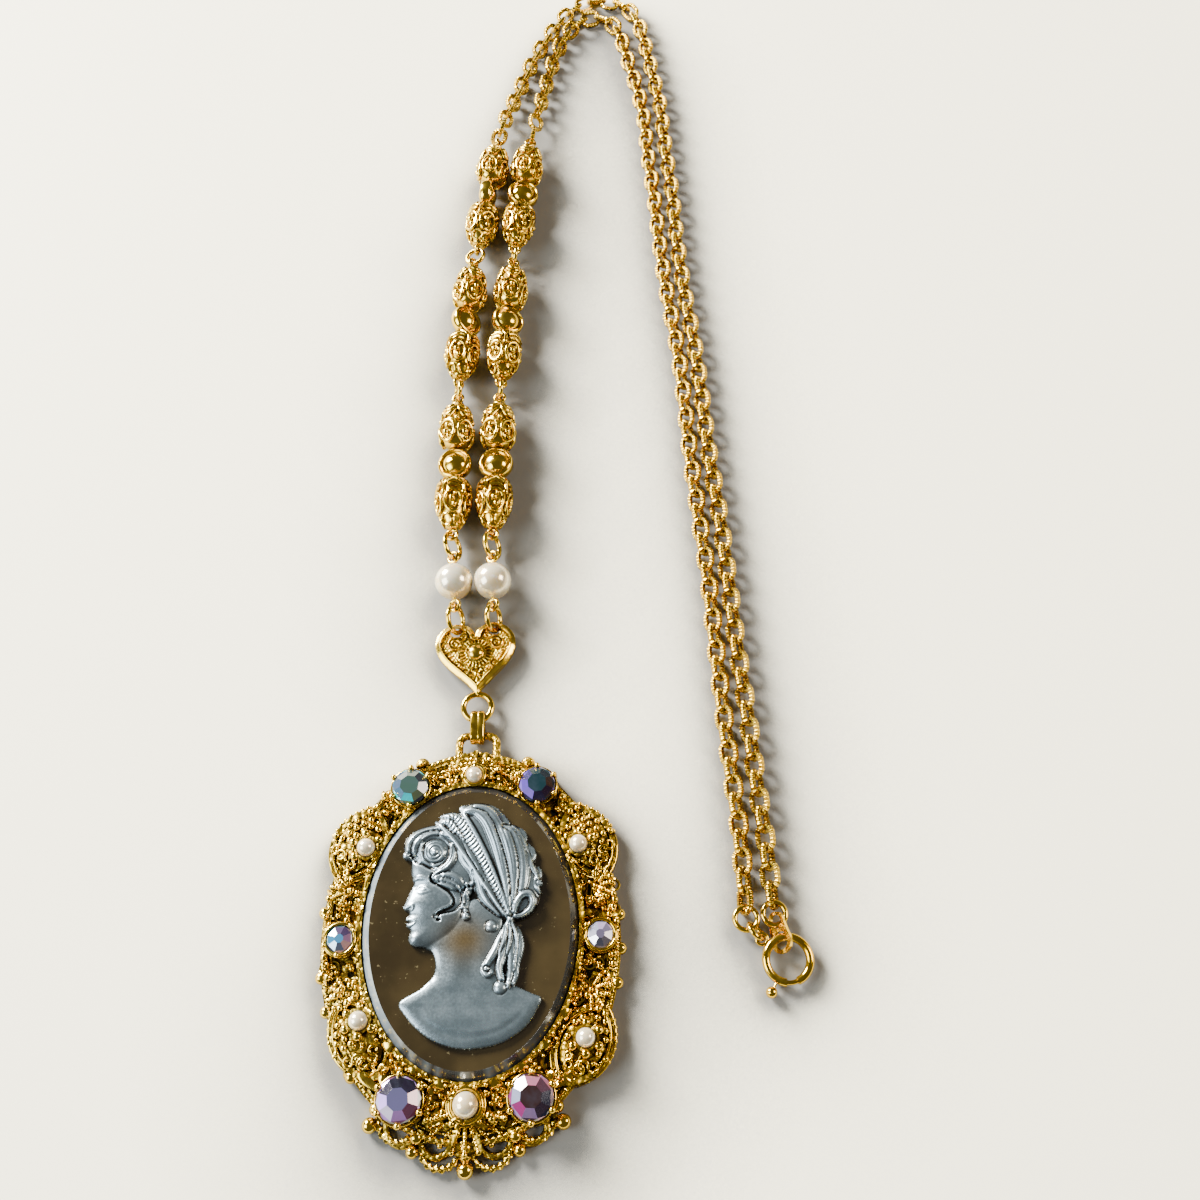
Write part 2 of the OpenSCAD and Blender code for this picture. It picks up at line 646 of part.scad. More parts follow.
// Rise of the bust, face, hair, ribbons, curls and hanging lock, as shares of the whole relief's
bust_rise = 0.42;
face_rise = 0.6;
hair_rise = 0.8;
ribbon_rise = 0.95;
curl_rise = 0.9;
lock_rise = 0.7;
relief_root = 0.4;
ribbon_w = 0.9;
RIBBONS = [[-0.1, 0.36], [0, 0.4]];
LOCK = [0.14, -0.06];
lock_l = 8;
lock_w = 2.6;
lock_turn = -75;
module relief(outline, rise) {
    translate([0, 0, ground_z - relief_root]) linear_extrude(rise * relief_rise + relief_root)
        polygon([for (p = outline) on_glass(p)]);
}
module ribbon(from) {
    a = on_glass(from);
    b = on_glass(KNOT);
    translate([a[0], a[1], ground_z]) rotate(atan2(b[1] - a[1], b[0] - a[0]))
        translate([0, -ribbon_w / 2, 0]) cube([norm(b - a), ribbon_w, relief_rise * ribbon_rise]);
}
module cameo() {
    color("darkslategray") {
        hull() {
            translate([0, 0, glass_z]) linear_extrude(cameo_side) oval(cameo_w, cameo_h);
            translate([0, 0, glass_z]) linear_extrude(ground_z - glass_z)
                oval(cameo_w - 2 * bevel_w, cameo_h - 2 * bevel_w);
        }
        relief(BUST, bust_rise);
        relief(FACE, face_rise);
        relief(HAIR, hair_rise);
        for (r = RIBBONS) ribbon(r);
        for (c = CURLS)
            translate(concat(on_glass(c), ground_z - relief_root))
                cylinder(r = c[2] * cameo_w, h = relief_rise * curl_rise + relief_root);
        translate(concat(on_glass(LOCK), ground_z - relief_root)) rotate(lock_turn)
            linear_extrude(relief_rise * lock_rise + relief_root) pointed_oval(lock_l, lock_w);
    }
}

module frame_pearl(k) {
    p = PEARLS[k - 1];
    color("ivory") translate(concat(round_glass(p[0], p[1]), p[2])) sphere(p[3] / 2);
}
// A faceted round stone: flat table, sloping crown in two steps, girdle and pointed pavilion
module facet_ring(z, share, turn, d) translate([0, 0, z]) rotate(turn)
    linear_extrude(facet_t) circle(d = share * d, $fn = cut_sides);
module stone(k) {
    s = STONES[k - 1];
    d = s[3];
    color("slateblue") translate(concat(round_glass(s[0], s[1]), s[2])) hull() {
        facet_ring(crown_share * d, table_share, 0, d);
        facet_ring(mid_crown_share * crown_share * d, mid_crown_w, 180 / cut_sides, d);
        translate([0, 0, -girdle_t / 2]) linear_extrude(girdle_t) circle(d = d, $fn = cut_sides);
        facet_ring(-pavilion_share * d, culet_share, 0, d);
    }
}

// Fold-over bail: a grooved band that holds the rope loop and the heart's ring
module bail() {
    outer = bail_r + bail_t;
    color("goldenrod") translate([bail_x, loop_top_y, link_z]) rotate([90, 0, 90])
        translate([0, 0, -bail_w / 2]) difference() {
            union() {
                for (y = [0, bail_reach]) translate([y, 0, 0]) cylinder(r = outer, h = bail_w);
                translate([0, -outer, 0]) cube([bail_reach, 2 * outer, bail_w]);
            }
            translate([0, 0, -past]) linear_extrude(bail_w + 2 * past) {
                for (y = [0, bail_reach]) translate([y, 0]) circle(bail_r);
                translate([0, -bail_r]) square([bail_reach, 2 * bail_r]);
            }
            for (g = GROOVES) translate([-past, outer - groove_d, bail_w * g])
                cube([bail_reach + 2 * past, past, groove_w]);
        }
}
// Heart with a raised rim, a boss, a small flower and the ring at its tip
module heart() {
    color("goldenrod") translate([0, heart_ring_y, 0]) rotate(heart_turn) {
        translate([0, 0, link_z]) torus(heart_ring_r, heart_wire);
        translate([0, 0, heart_z]) difference() {
            translate([0, heart_tip, 0]) {
                linear_extrude(heart_t) heart_outline(heart_w, heart_h);
                linear_extrude(heart_t + heart_rim) difference() {
                    heart_outline(heart_w, heart_h);
                    translate([0, heart_rim_up * heart_h])
                        heart_outline(heart_rim_share * heart_w, heart_rim_share * heart_h);
                }
                translate([0, boss_up * heart_h, 0])
                    cylinder(d = boss_share * heart_w, h = heart_t + boss_rise);
                translate([0, boss_up * heart_h, heart_t]) sphere(bead_share * heart_w / 2);
                translate([0, flower_up * heart_h, 0])
                    cylinder(d = flower_share * heart_w, h = heart_t + flower_rise);
            }
            for (s = [-1, 1]) translate([s * heart_hole_x, heart_hole_y, -past])
                cylinder(d = heart_hole_d, h = cutter_h);
        }
    }
}
function heart_hole(s) = [
    -(heart_hole_y - hang) * sin(heart_turn) + s * heart_hole_x * cos(heart_turn),
    heart_ring_y + (heart_hole_y - hang) * cos(heart_turn) + s * heart_hole_x * sin(heart_turn),
    heart_hole_z
];

function hand(side) = side == LEFT ? -1 : 1;
module heart_jump(side) {
    a = heart_hole(hand(side));
    b = eye_place(side, pearl_s(), pearl_reach, -1);
    color("goldenrod") ring_through(a, b, norm(b - a) / 2, ring_wire, heart_jump_turn);
}
module pearl(side) {
    color("ivory") laid(place(side, pearl_s()), heading(side, pearl_s(), pearl_reach), 0)
        rotate([0, 90, 0]) difference() {
            sphere(pearl_d / 2);
            translate([0, 0, -pearl_d]) cylinder(d = pearl_bore, h = 2 * pearl_d);
        }
}
// Wire through a pearl with an eye at each end
module eye_pin(side) {
    color("goldenrod") laid(place(side, pearl_s()), heading(side, pearl_s(), pearl_reach), pin_turn) {
        for (e = [-1, 1]) translate([e * pearl_reach, 0, 0]) torus(eye_r, eye_wire);
        translate([eye_r - pearl_reach, 0, 0]) rotate([0, 90, 0])
            cylinder(d = eye_wire * pin_share, h = 2 * (pearl_reach - eye_r));
    }
}
module pearl_jump(side) {
    a = eye_place(side, pearl_s(), pearl_reach, 1);
    b = eye_place(side, bar_s(0), bar_reach, -1);
    color("goldenrod") ring_through(a, b, pearl_ring_r, ring_wire, pearl_jump_turn);
}
// Half of a bar: a filigree bead with its inner end at the button, and an eye beyond it
module bar_half() {
    start = (bead_pitch + bead_l) / 2;
    translate([start, 0, 0]) rotate([0, -90, 0]) rotate_extrude()
        polygon(concat([[0, 0]], [for (b = BEAD) [b[1] * bead_d / 2, b[0] * bead_l]], [[0, bead_l]]));
    translate([bar_reach, 0, 0]) torus(eye_r, eye_wire);
    rotate([0, 90, 0]) cylinder(d = bar_core_d, h = bar_reach - eye_r);
}
module button() {
    cap_r = button_d / 2 - button_rim_w;
    cap_h = button_t / 2 - button_step;
    ball_r = (cap_r * cap_r + cap_h * cap_h) / (2 * cap_h);
    translate([0, 0, -button_rim_h / 2]) cylinder(d = button_d, h = button_rim_h);
    for (turn = [0, 180])
        rotate([turn, 0, 0]) intersection() {
            translate([0, 0, button_t / 2 - ball_r]) sphere(ball_r);
            cylinder(r = cap_r, h = button_t);
        }
}
module bar(side, k, turn) {
    color("goldenrod") laid(place(side, bar_s(k)), heading(side, bar_s(k), bar_reach), turn) {
        button();
        bar_half();
        mirror([1, 0, 0]) bar_half();
    }
}
module bar_jump(side, k, turn) {
    a = eye_place(side, bar_s(k), bar_reach, 1);
    b = eye_place(side, bar_s(k + 1), bar_reach, -1);
    color("goldenrod") ring_through(a, b, bar_ring_r, ring_wire, turn);
}

// Cable link with round ends, lying along +X
module cable_link() {
    for (e = [0, 180])
        rotate(e) translate([link_straight / 2, 0, 0]) rotate(-90) arc(link_r, link_wire, 180);
    for (y = [-link_r, link_r])
        translate([-link_straight / 2, y, 0]) rotate([0, 90, 0]) cylinder(d = link_wire, h = link_straight);
}
module chain(side, first_turns) {
    n = link_count(side);
    color("goldenrod") for (k = [0:n - 1]) {
        s = link_s(side, k);
        laid(place(side, s), heading(side, s, link_pitch / 2), link_turn(k, n, first_turns)) cable_link();
    }
}

// Clasp
function end_ring_place(side) = [
    lookup(run_end(side), side[0]), lookup(run_end(side), side[1]), chain_z
];
module end_ring(side) {
    color("goldenrod") translate(end_ring_place(side)) torus(end_ring_r, ring_wire);
}
// A place on the leaning spring ring: turn round it and distance from its middle
function on_clasp(turn, r) = let (
    along = r * cos(turn - lean_towards), across = r * sin(turn - lean_towards)
) [
    clasp_at[0] + along * cos(lean) * cos(lean_towards) - across * sin(lean_towards),
    clasp_at[1] + along * cos(lean) * sin(lean_towards) + across * cos(lean_towards),
    clasp_z + along * sin(lean)
];
module on_lean() translate([clasp_at[0], clasp_at[1], clasp_z]) rotate(lean_towards) rotate([0, -lean, 0])
    rotate(-lean_towards) children();
module clasp_link() {
    a = on_clasp(eye_at, clasp_eye_reach);
    to = end_ring_place(RIGHT);
    toward = unit([a[0] - to[0], a[1] - to[1], 0]);
    b = to + (end_ring_r - ring_wire - seat_gap) * toward;
    color("goldenrod") ring_through(a, b, norm(b - a) / 2, clasp_link_wire, clasp_link_turn);
}
// Flat tag with a hole for the end ring and a wider one for the spring ring's tube
module clasp_tag() {
    ring = end_ring_place(LEFT);
    tube = on_clasp(tag_at, clasp_r);
    along = unit(tube - ring);
    half = tag_pitch / 2;
    wide = tag_w / 2;
    narrow = tag_end_w / 2;
    color("goldenrod") laid((ring + end_ring_r * along + tube) / 2, along, tag_turn)
        translate([0, 0, -tag_t / 2]) linear_extrude(tag_t) difference() {
            union() {
                translate([half, 0]) circle(wide);
                translate([-half, 0]) circle(narrow);
                polygon([
                    [half, tag_waist * wide], [-half, tag_waist * narrow],
                    [-half, -tag_waist * narrow], [half, -tag_waist * wide]
                ]);
            }
            translate([half, 0]) circle(tag_hole_r);
            translate([-half, 0]) circle(tag_end_hole_r);
        }
}
// Part of a ring of the clasp's radius, from one turn to another
module clasp_arc(from, to, d) rotate(from) arc(clasp_r, d, to - from);
// Round tube, open where the bolt shows and slotted for the thumb ball's neck, with its fixed eye
module spring_ring() {
    color("goldenrod") on_lean() {
        difference() {
            clasp_arc(gap_from + gap_span, gap_from + 360, tube_d);
            clasp_arc(bolt_from - bolt_travel - bolt_room, gap_from + bolt_room, tube_bore);
            clasp_arc(gap_from + gap_span - bolt_room, bolt_to + bolt_room, tube_bore);
            rotate(thumb_at - bolt_travel - slot_room) rotate_extrude(angle = bolt_travel + 2 * slot_room)
                translate([clasp_r, -slot_w / 2]) square([tube_d, slot_w]);
        }
        rotate(eye_at) translate([clasp_eye_reach, 0, 0]) torus(clasp_eye_r, clasp_eye_wire);
    }
}
module clasp_bolt() {
    color("gold") on_lean() {
        clasp_arc(bolt_from, bolt_to, bolt_d);
        rotate(thumb_at) {
            translate([clasp_r, 0, 0]) rotate([0, 90, 0])
                cylinder(d = neck_d, h = tube_d / 2 + thumb_reach);
            translate([clasp_d / 2 + thumb_reach, 0, 0]) sphere(thumb_d / 2);
        }
    }
}

frame();
cameo();
bail();
heart();
for (k = [1:6]) {
    frame_pearl(k);
    stone(k);
}
heart_jump(LEFT);  // heart_jump_left
heart_jump(RIGHT);  // heart_jump_right
pearl(LEFT);  // pearl_left
pearl(RIGHT);  // pearl_right
eye_pin(LEFT);  // eye_pin_left
eye_pin(RIGHT);  // eye_pin_right
pearl_jump(LEFT);  // pearl_jump_left
pearl_jump(RIGHT);  // pearl_jump_right
for (k = [1:3]) {
    bar(LEFT, k - 1, left_rolls[k - 1]);
    bar(RIGHT, k - 1, right_rolls[k - 1]);
}
for (k = [1:2]) {
    bar_jump(LEFT, k - 1, left_ring_rolls[k - 1]);
    bar_jump(RIGHT, k - 1, right_ring_rolls[k - 1]);
}
chain(LEFT, left_first_turns);  // chain_left
chain(RIGHT, right_first_turns);  // chain_right
// The strands cross at the top of the loop, so the end ring that lies to the left is the right strand's
end_ring(RIGHT);  // end_ring_left
end_ring(LEFT);  // end_ring_right
clasp_link();
clasp_tag();
spring_ring();
clasp_bolt();
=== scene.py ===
"""Looks of a gilt cameo pendant that hangs from two strands and a fine chain."""

import math
import random

import bmesh
import bpy
import numpy as np
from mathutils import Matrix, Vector
from mathutils.bvhtree import BVHTree


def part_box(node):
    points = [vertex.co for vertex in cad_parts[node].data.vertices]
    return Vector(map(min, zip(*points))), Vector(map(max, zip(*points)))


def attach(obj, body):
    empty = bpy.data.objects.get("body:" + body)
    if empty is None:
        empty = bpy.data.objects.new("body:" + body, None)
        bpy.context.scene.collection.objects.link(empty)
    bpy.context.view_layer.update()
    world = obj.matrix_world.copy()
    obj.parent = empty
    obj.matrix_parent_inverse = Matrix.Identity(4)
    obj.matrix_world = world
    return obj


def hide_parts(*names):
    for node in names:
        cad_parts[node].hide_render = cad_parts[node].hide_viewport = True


bl_info = {
    "name": "Cameo pendant necklace",
    "version": (1, 0, 0),
    "blender": (4, 5, 0),
    "location": "3D View > Sidebar > Cameo",
    "description": "Builds the looks of a gilt cameo pendant, its strands, chain and clasp",
    "category": "Object",
}

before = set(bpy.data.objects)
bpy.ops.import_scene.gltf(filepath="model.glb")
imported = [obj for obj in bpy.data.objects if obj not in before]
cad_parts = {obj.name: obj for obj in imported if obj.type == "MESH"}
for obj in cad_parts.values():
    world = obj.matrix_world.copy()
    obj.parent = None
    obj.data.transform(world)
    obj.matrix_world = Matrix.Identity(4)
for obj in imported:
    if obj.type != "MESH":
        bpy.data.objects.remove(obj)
MM = 0.001
BODY = "necklace"

# Sizes that the part shares with these looks, in millimetres; pearls, stones and domes are places
# on the band round the glass: turn in degrees, share of the band's width
GLASS_W, GLASS_H, BAND = 30.0, 40.0, 5.8
GROUND_Z, GLASS_FOOT_Z = 3.92, 0.72
RIM_W, RIM_H, RIM_DROP = 41.6, 53.4, 1.2
PEARLS = [(90, 0.29), (150, 0.42), (30, 0.42), (213, 0.42), (-37, 0.82), (-90, 0.5)]
STONES = [(120.5, 0.54), (59.5, 0.54), (183.5, 0.52), (-3.5, 0.52), (244, 0.8), (-64, 0.8)]
DOMES = [(150, 0.68), (30, 0.68), (218, 0.58), (-39, 0.84)]
# Bottom rope loops: place beside the middle, height over the rim's lowest point, radius
LOOPS = [(8.9, 3.5, 2.75), (3.3, 0.1, 2.6)]
LINK_Z, TOP_LOOP_X, TOP_LOOP_Y = 1.545, 2.775, 28.3
HEART_RING_Y = 32.925
ROPE_STEP = 0.13


# ---- points and paths


def round_glass(turn, share):
    """A place on the band round the glass: turn in degrees, share of the band's width."""
    a = math.radians(turn)
    return np.array([(GLASS_W / 2 + share * BAND) * math.cos(a), (GLASS_H / 2 + share * BAND) * math.sin(a)])


def unit(angle):
    """The direction at an angle."""
    return np.array([math.cos(angle), math.sin(angle)])


def outward(turn):
    """The way out from the glass's edge, as an angle."""
    a = math.radians(turn)
    return math.atan2(math.sin(a) * GLASS_W, math.cos(a) * GLASS_H)


def round_rim(turn, inset=0.0):
    """A place on the frame's outer rim, or inset from it."""
    a = math.radians(turn)
    return np.array([(RIM_W / 2 - inset) * math.cos(a), (RIM_H / 2 - inset) * math.sin(a) - RIM_DROP])


def smooth_path(points, steps=8, closed=False):
    """A smooth curve through points."""
    p = np.asarray(points, float)
    n = len(p)
    t = np.linspace(0, 1, steps, endpoint=False)[:, None]
    out = []
    for k in range(n if closed else n - 1):
        if closed:
            a, b, c, d = p[(k - 1) % n], p[k], p[(k + 1) % n], p[(k + 2) % n]
        else:
            a, b, c, d = p[max(k - 1, 0)], p[k], p[k + 1], p[min(k + 2, n - 1)]
        bend, swing = 2 * a - 5 * b + 4 * c - d, 3 * b - a - 3 * c + d
        out.append(0.5 * (2 * b + (c - a) * t + bend * t**2 + swing * t**3))
    if not closed:
        out.append(p[-1:])
    return np.concatenate(out)


def spaced(path, step, closed=False):
    """The same curve with points an even step apart."""
    p = np.concatenate([path, path[:1]]) if closed else path
    run = np.concatenate([[0], np.cumsum(np.linalg.norm(np.diff(p, axis=0), axis=1))])
    n = max(3, int(round(run[-1] / step)))
    at = np.linspace(0, run[-1], n + 1)
    q = np.stack([np.interp(at, run, p[:, k]) for k in range(p.shape[1])], 1)
    return q[:-1] if closed else q


def arc_path(centre, radius, start, end, step=10):
    """An arc between two angles in degrees."""
    a = np.radians(np.linspace(start, end, max(3, int(abs(end - start) / step) + 1)))
    return np.stack([centre[0] + radius * np.cos(a), centre[1] + radius * np.sin(a)], 1)


def spiral_path(centre, r0, r1, start, turns, step=14):
    """A spiral from radius r0 to r1 over a number of turns."""
    n = max(8, int(abs(turns) * 360 / step))
    a = np.radians(start) + np.linspace(0, turns * 2 * math.pi, n)
    r = np.linspace(r0, r1, n)
    return np.stack([centre[0] + r * np.cos(a), centre[1] + r * np.sin(a)], 1)


def at_height(path, z):
    """A flat path lifted to a height."""
    return np.column_stack([path, np.full(len(path), z)])


# ---- meshes


class Heap:
    """Shapes gathered into one mesh."""

    def __init__(self):
        self.verts, self.faces, self.count = [], [], 0

    def add(self, verts, faces):
        """Adds a shape as it lies."""
        self.verts.append(np.asarray(verts, float))
        self.faces.extend([tuple(i + self.count for i in f) for f in faces])
        self.count += len(verts)

    def placed(self, shape, at, size=1.0, axes=None):
        """Adds a copy of a shape at a place, to a size and turned to its axes."""
        verts, faces = shape
        v = verts * size
        if axes is not None:
            v = v @ np.asarray(axes)
        self.add(v + np.asarray(at), faces)

    def piece(self, name, material, slot, nodes=(), angle=50, body=BODY):
        """Makes one piece of all the shapes."""
        mesh = bpy.data.meshes.new(name)
        mesh.from_pydata((np.concatenate(self.verts) * MM).tolist(), [], self.faces)
        return finished(mesh, name, material, nodes, angle, body)


def finished(mesh, name, material, nodes=(), angle=50, body=BODY):
    """Turns a mesh into a piece that rides on its body and has the given material."""
    mesh.validate()
    obj = bpy.data.objects.new(name, mesh)
    bpy.context.collection.objects.link(obj)
    only(obj)
    bpy.ops.object.mode_set(mode="EDIT")
    bpy.ops.mesh.select_all(action="SELECT")
    bpy.ops.mesh.normals_make_consistent(inside=False)
    bpy.ops.object.mode_set(mode="OBJECT")
    bpy.ops.object.shade_smooth_by_angle(angle=math.radians(angle))
    mesh.materials.append(material)
    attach(obj, body)
    if nodes:
        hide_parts(*nodes)
    return obj


def only(obj=None):
    """Selects one object and nothing else."""
    if bpy.context.object and bpy.context.object.mode != "OBJECT":
        bpy.ops.object.mode_set(mode="OBJECT")
    bpy.ops.object.select_all(action="DESELECT")
    if obj:
        obj.select_set(True)
        bpy.context.view_layer.objects.active = obj


def taken():
    """The active object's shape as arrays; the object itself goes."""
    obj = bpy.context.object
    if obj.mode != "OBJECT":
        bpy.ops.object.mode_set(mode="OBJECT")
    obj.data.transform(obj.matrix_world)
    verts = np.array([v.co[:] for v in obj.data.vertices])
    faces = [tuple(p.vertices) for p in obj.data.polygons]
    bpy.data.objects.remove(obj)
    return verts, faces


def strips(rows, sides, closed=False):
    """Faces between rows of points that each go once round, capped where the rows don't close."""
    faces = []
    for i in range(rows if closed else rows - 1):
        for j in range(sides):
            k, m = (i + 1) % rows, (j + 1) % sides
            faces.append((i * sides + j, i * sides + m, k * sides + m, k * sides + j))
    if not closed:
        faces.append(tuple(range(sides))[::-1])
        faces.append(tuple((rows - 1) * sides + j for j in range(sides)))
    return faces


def tube(path, radius, sides=8, closed=False, depth=0.0, pitch=1.0):
    """A round wire along a path in space. With a depth it is grooved like two twisted strands."""
    p = np.asarray(path, float)
    n = len(p)
    r = np.broadcast_to(np.asarray(radius, float), (n,))
    if closed:
        t = np.roll(p, -1, 0) - np.roll(p, 1, 0)
    else:
        t = np.gradient(p, axis=0)
    t /= np.maximum(np.linalg.norm(t, axis=1), 1e-9)[:, None]
    up = np.tile([0.0, 0.0, 1.0], (n, 1))
    steep = np.abs(t[:, 2]) > 0.95
    up[steep] = [1.0, 0.0, 0.0]
    side = np.cross(up, t)
    side /= np.maximum(np.linalg.norm(side, axis=1), 1e-9)[:, None]
    top = np.cross(t, side)
    run = np.concatenate([[0], np.cumsum(np.linalg.norm(np.diff(p, axis=0), axis=1))])
    if closed and depth:
        full = run[-1] + np.linalg.norm(p[0] - p[-1])
        pitch = full / max(1, round(full / pitch))
    a = np.arange(sides) * 2 * math.pi / sides
    rr = r[:, None] * np.ones(sides)
    if depth:
        twist = 2 * (a[None, :] - 2 * math.pi * run[:, None] / (pitch * 2))
        rr = rr * (1 - depth / 2 + depth / 2 * np.cos(twist))
    ways = np.cos(a)[None, :, None] * side[:, None] + np.sin(a)[None, :, None] * top[:, None]
    return (p[:, None] + rr[..., None] * ways).reshape(-1, 3), strips(n, sides, closed)


def rope(path, radius, pitch, sides=8, depth=0.4, closed=False):
    """Two twisted wires along a path."""
    return tube(spaced(path, ROPE_STEP, closed), radius, sides, closed, depth, pitch)


def granule_shape():
    """A small ball of 80 faces."""
    only()
    bpy.ops.mesh.primitive_ico_sphere_add(subdivisions=2, radius=1.0)
    return taken()


def ball_shape():
    """A polished ball."""
    only()
    bpy.ops.mesh.primitive_uv_sphere_add(segments=20, ring_count=12, radius=1.0)
    return taken()


def node_mesh(name):
    """A CAD node's corners and triangles in millimetres, with doubled corners merged."""
    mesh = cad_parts[name].data
    v = np.empty(len(mesh.vertices) * 3, np.float32)
    mesh.vertices.foreach_get("co", v)
    v = v.reshape(-1, 3).astype(float) / MM
    keys, back = np.unique(np.round(v, 3), axis=0, return_inverse=True)
    back = back.reshape(-1)
    mesh.calc_loop_triangles()
    f = np.empty(len(mesh.loop_triangles) * 3, np.int32)
    mesh.loop_triangles.foreach_get("vertices", f)
    return keys, back[f].reshape(-1, 3)


def solids_of(name):
    """Middle and own axes (length, width, thickness) of each loose solid of a node."""
    v, f = node_mesh(name)
    label = np.arange(len(v))
    while True:
        low = label[f].min(1)
        new = label.copy()
        for k in range(3):
            np.minimum.at(new, f[:, k], low)
        new = new[new]
        if (new == label).all():
            break
        label = new
    found = []
    for one in np.unique(label[f[:, 0]]):
        p = v[label == one]
        lo, hi = p.min(0), p.max(0)
        mid = p.mean(0)
        w, axes = np.linalg.eigh(np.cov((p - mid).T))
        axes = axes[:, ::-1].T
        local = (p - mid) @ axes.T
        mid = mid + ((local.max(0) + local.min(0)) / 2) @ axes
        if np.linalg.det(axes) < 0:
            axes[2] *= -1
        found.append((mid, axes, local.max(0) - local.min(0)))
    return found


class Surface:
    """Heights of the soldered frame, so that wires and granules can lie on it."""

    def __init__(self):
        v, f = node_mesh("frame")
        self.tree = BVHTree.FromPolygons(v.tolist(), f.tolist())

    def z(self, x, y, other=1.1):
        """Height of the frame at a place, or another height where it has no top there."""
        hit = self.tree.ray_cast(Vector((x, y, 20)), Vector((0, 0, -1)))
        return hit[0].z if hit[0] is not None and hit[0].z > 0.65 else other

    def laid(self, path, lift, soften=3):
        """A flat path laid on the frame and lifted off it."""
        z = np.array([self.z(x, y) for x, y in path])
        w = np.ones(2 * soften + 1) / (2 * soften + 1)
        z = np.convolve(np.pad(z, soften, mode="edge"), w, mode="valid")
        return np.column_stack([path, z + lift])


# ---- heights of carved sheets


def outline_depth(points, x, y):
    """How deep each place lies within a closed outline, negative outside it."""
    best = np.full(x.shape, 1e9)
    inside = np.zeros(x.shape, bool)
    n = len(points)
    for k in range(n):
        (ax, ay), (bx, by) = points[k], points[(k + 1) % n]
        dx, dy = bx - ax, by - ay
        t = np.clip(((x - ax) * dx + (y - ay) * dy) / max(dx * dx + dy * dy, 1e-12), 0, 1)
        best = np.minimum(best, (x - ax - t * dx) ** 2 + (y - ay - t * dy) ** 2)
        cross = (ay > y) != (by > y)
        inside ^= cross & (x < (bx - ax) * (y - ay) / (by - ay if by != ay else 1e-12) + ax)
    d = np.sqrt(best)
    return np.where(inside, d, -d)


def along_stroke(points, widths, x, y):
    """For each place: run along a stroke, share of its half width (signed), half width there."""
    path = spaced(smooth_path(points, 8), 0.18)
    run = np.concatenate([[0], np.cumsum(np.linalg.norm(np.diff(path, axis=0), axis=1))])
    w = np.interp(run / run[-1], np.linspace(0, 1, len(widths)), widths) / 2
    best = np.full(x.shape, 1e9)
    s, v, hw = np.zeros(x.shape), np.full(x.shape, 9.0), np.ones(x.shape)
    reach = max(widths) / 2 + 0.3
    near = (x > path[:, 0].min() - reach) & (x < path[:, 0].max() + reach)
    near &= (y > path[:, 1].min() - reach) & (y < path[:, 1].max() + reach)
    px, py = x[near], y[near]
    b, ss, vv, hh = best[near], s[near], v[near], hw[near]
    for k in range(len(path) - 1):
        ax, ay = path[k]
        dx, dy = path[k + 1] - path[k]
        length = math.hypot(dx, dy)
        t = np.clip(((px - ax) * dx + (py - ay) * dy) / (length * length), 0, 1)
        qx, qy = px - ax - t * dx, py - ay - t * dy
        d = qx * qx + qy * qy
        closer = d < b
        b = np.where(closer, d, b)
        half = w[k] + (w[k + 1] - w[k]) * t
        sign = np.where(dx * qy - dy * qx > 0, 1.0, -1.0)
        ss = np.where(closer, run[k] + t * length, ss)
        vv = np.where(closer, sign * np.sqrt(d) / half, vv)
        hh = np.where(closer, half, hh)
    s[near], v[near], hw[near] = ss, vv, hh
    return s, v, hw


def rounded(depth, width, rise):
    """Height of a swelling that rises from an edge and levels out at a given depth."""
    t = np.clip(depth / width, 0, 1)
    return rise * np.sqrt(1 - (1 - t) ** 2)


def hump(v):
    """Height of a half round at a share of its half width, 0 beyond it."""
    return np.sqrt(np.clip(1 - v * v, 0, 1))


def ripple(t, power=1.0):
    """Waves that are 1 at each whole number and 0 half way between."""
    return (0.5 + 0.5 * np.cos(2 * math.pi * t)) ** power


def bump(x, y, at, r, rise, stretch=1.0):
    """A round swelling about a place."""
    return rise * np.exp(-(((x - at[0]) / r) ** 2 + ((y - at[1]) / (r * stretch)) ** 2))


def softened(h, cells):
    """Mean of each height and its neighbours up to a number of cells away."""
    for axis in (0, 1):
        pad = [(cells, cells) if a == axis else (0, 0) for a in (0, 1)]
        pad[axis] = (cells + 1, cells)
        c = np.cumsum(np.pad(h, pad, mode="edge"), axis)
        n = 2 * cells + 1
        c = np.moveaxis(c, axis, 0)
        h = np.moveaxis((c[n:] - c[:-n]) / n, 0, axis)
    return h


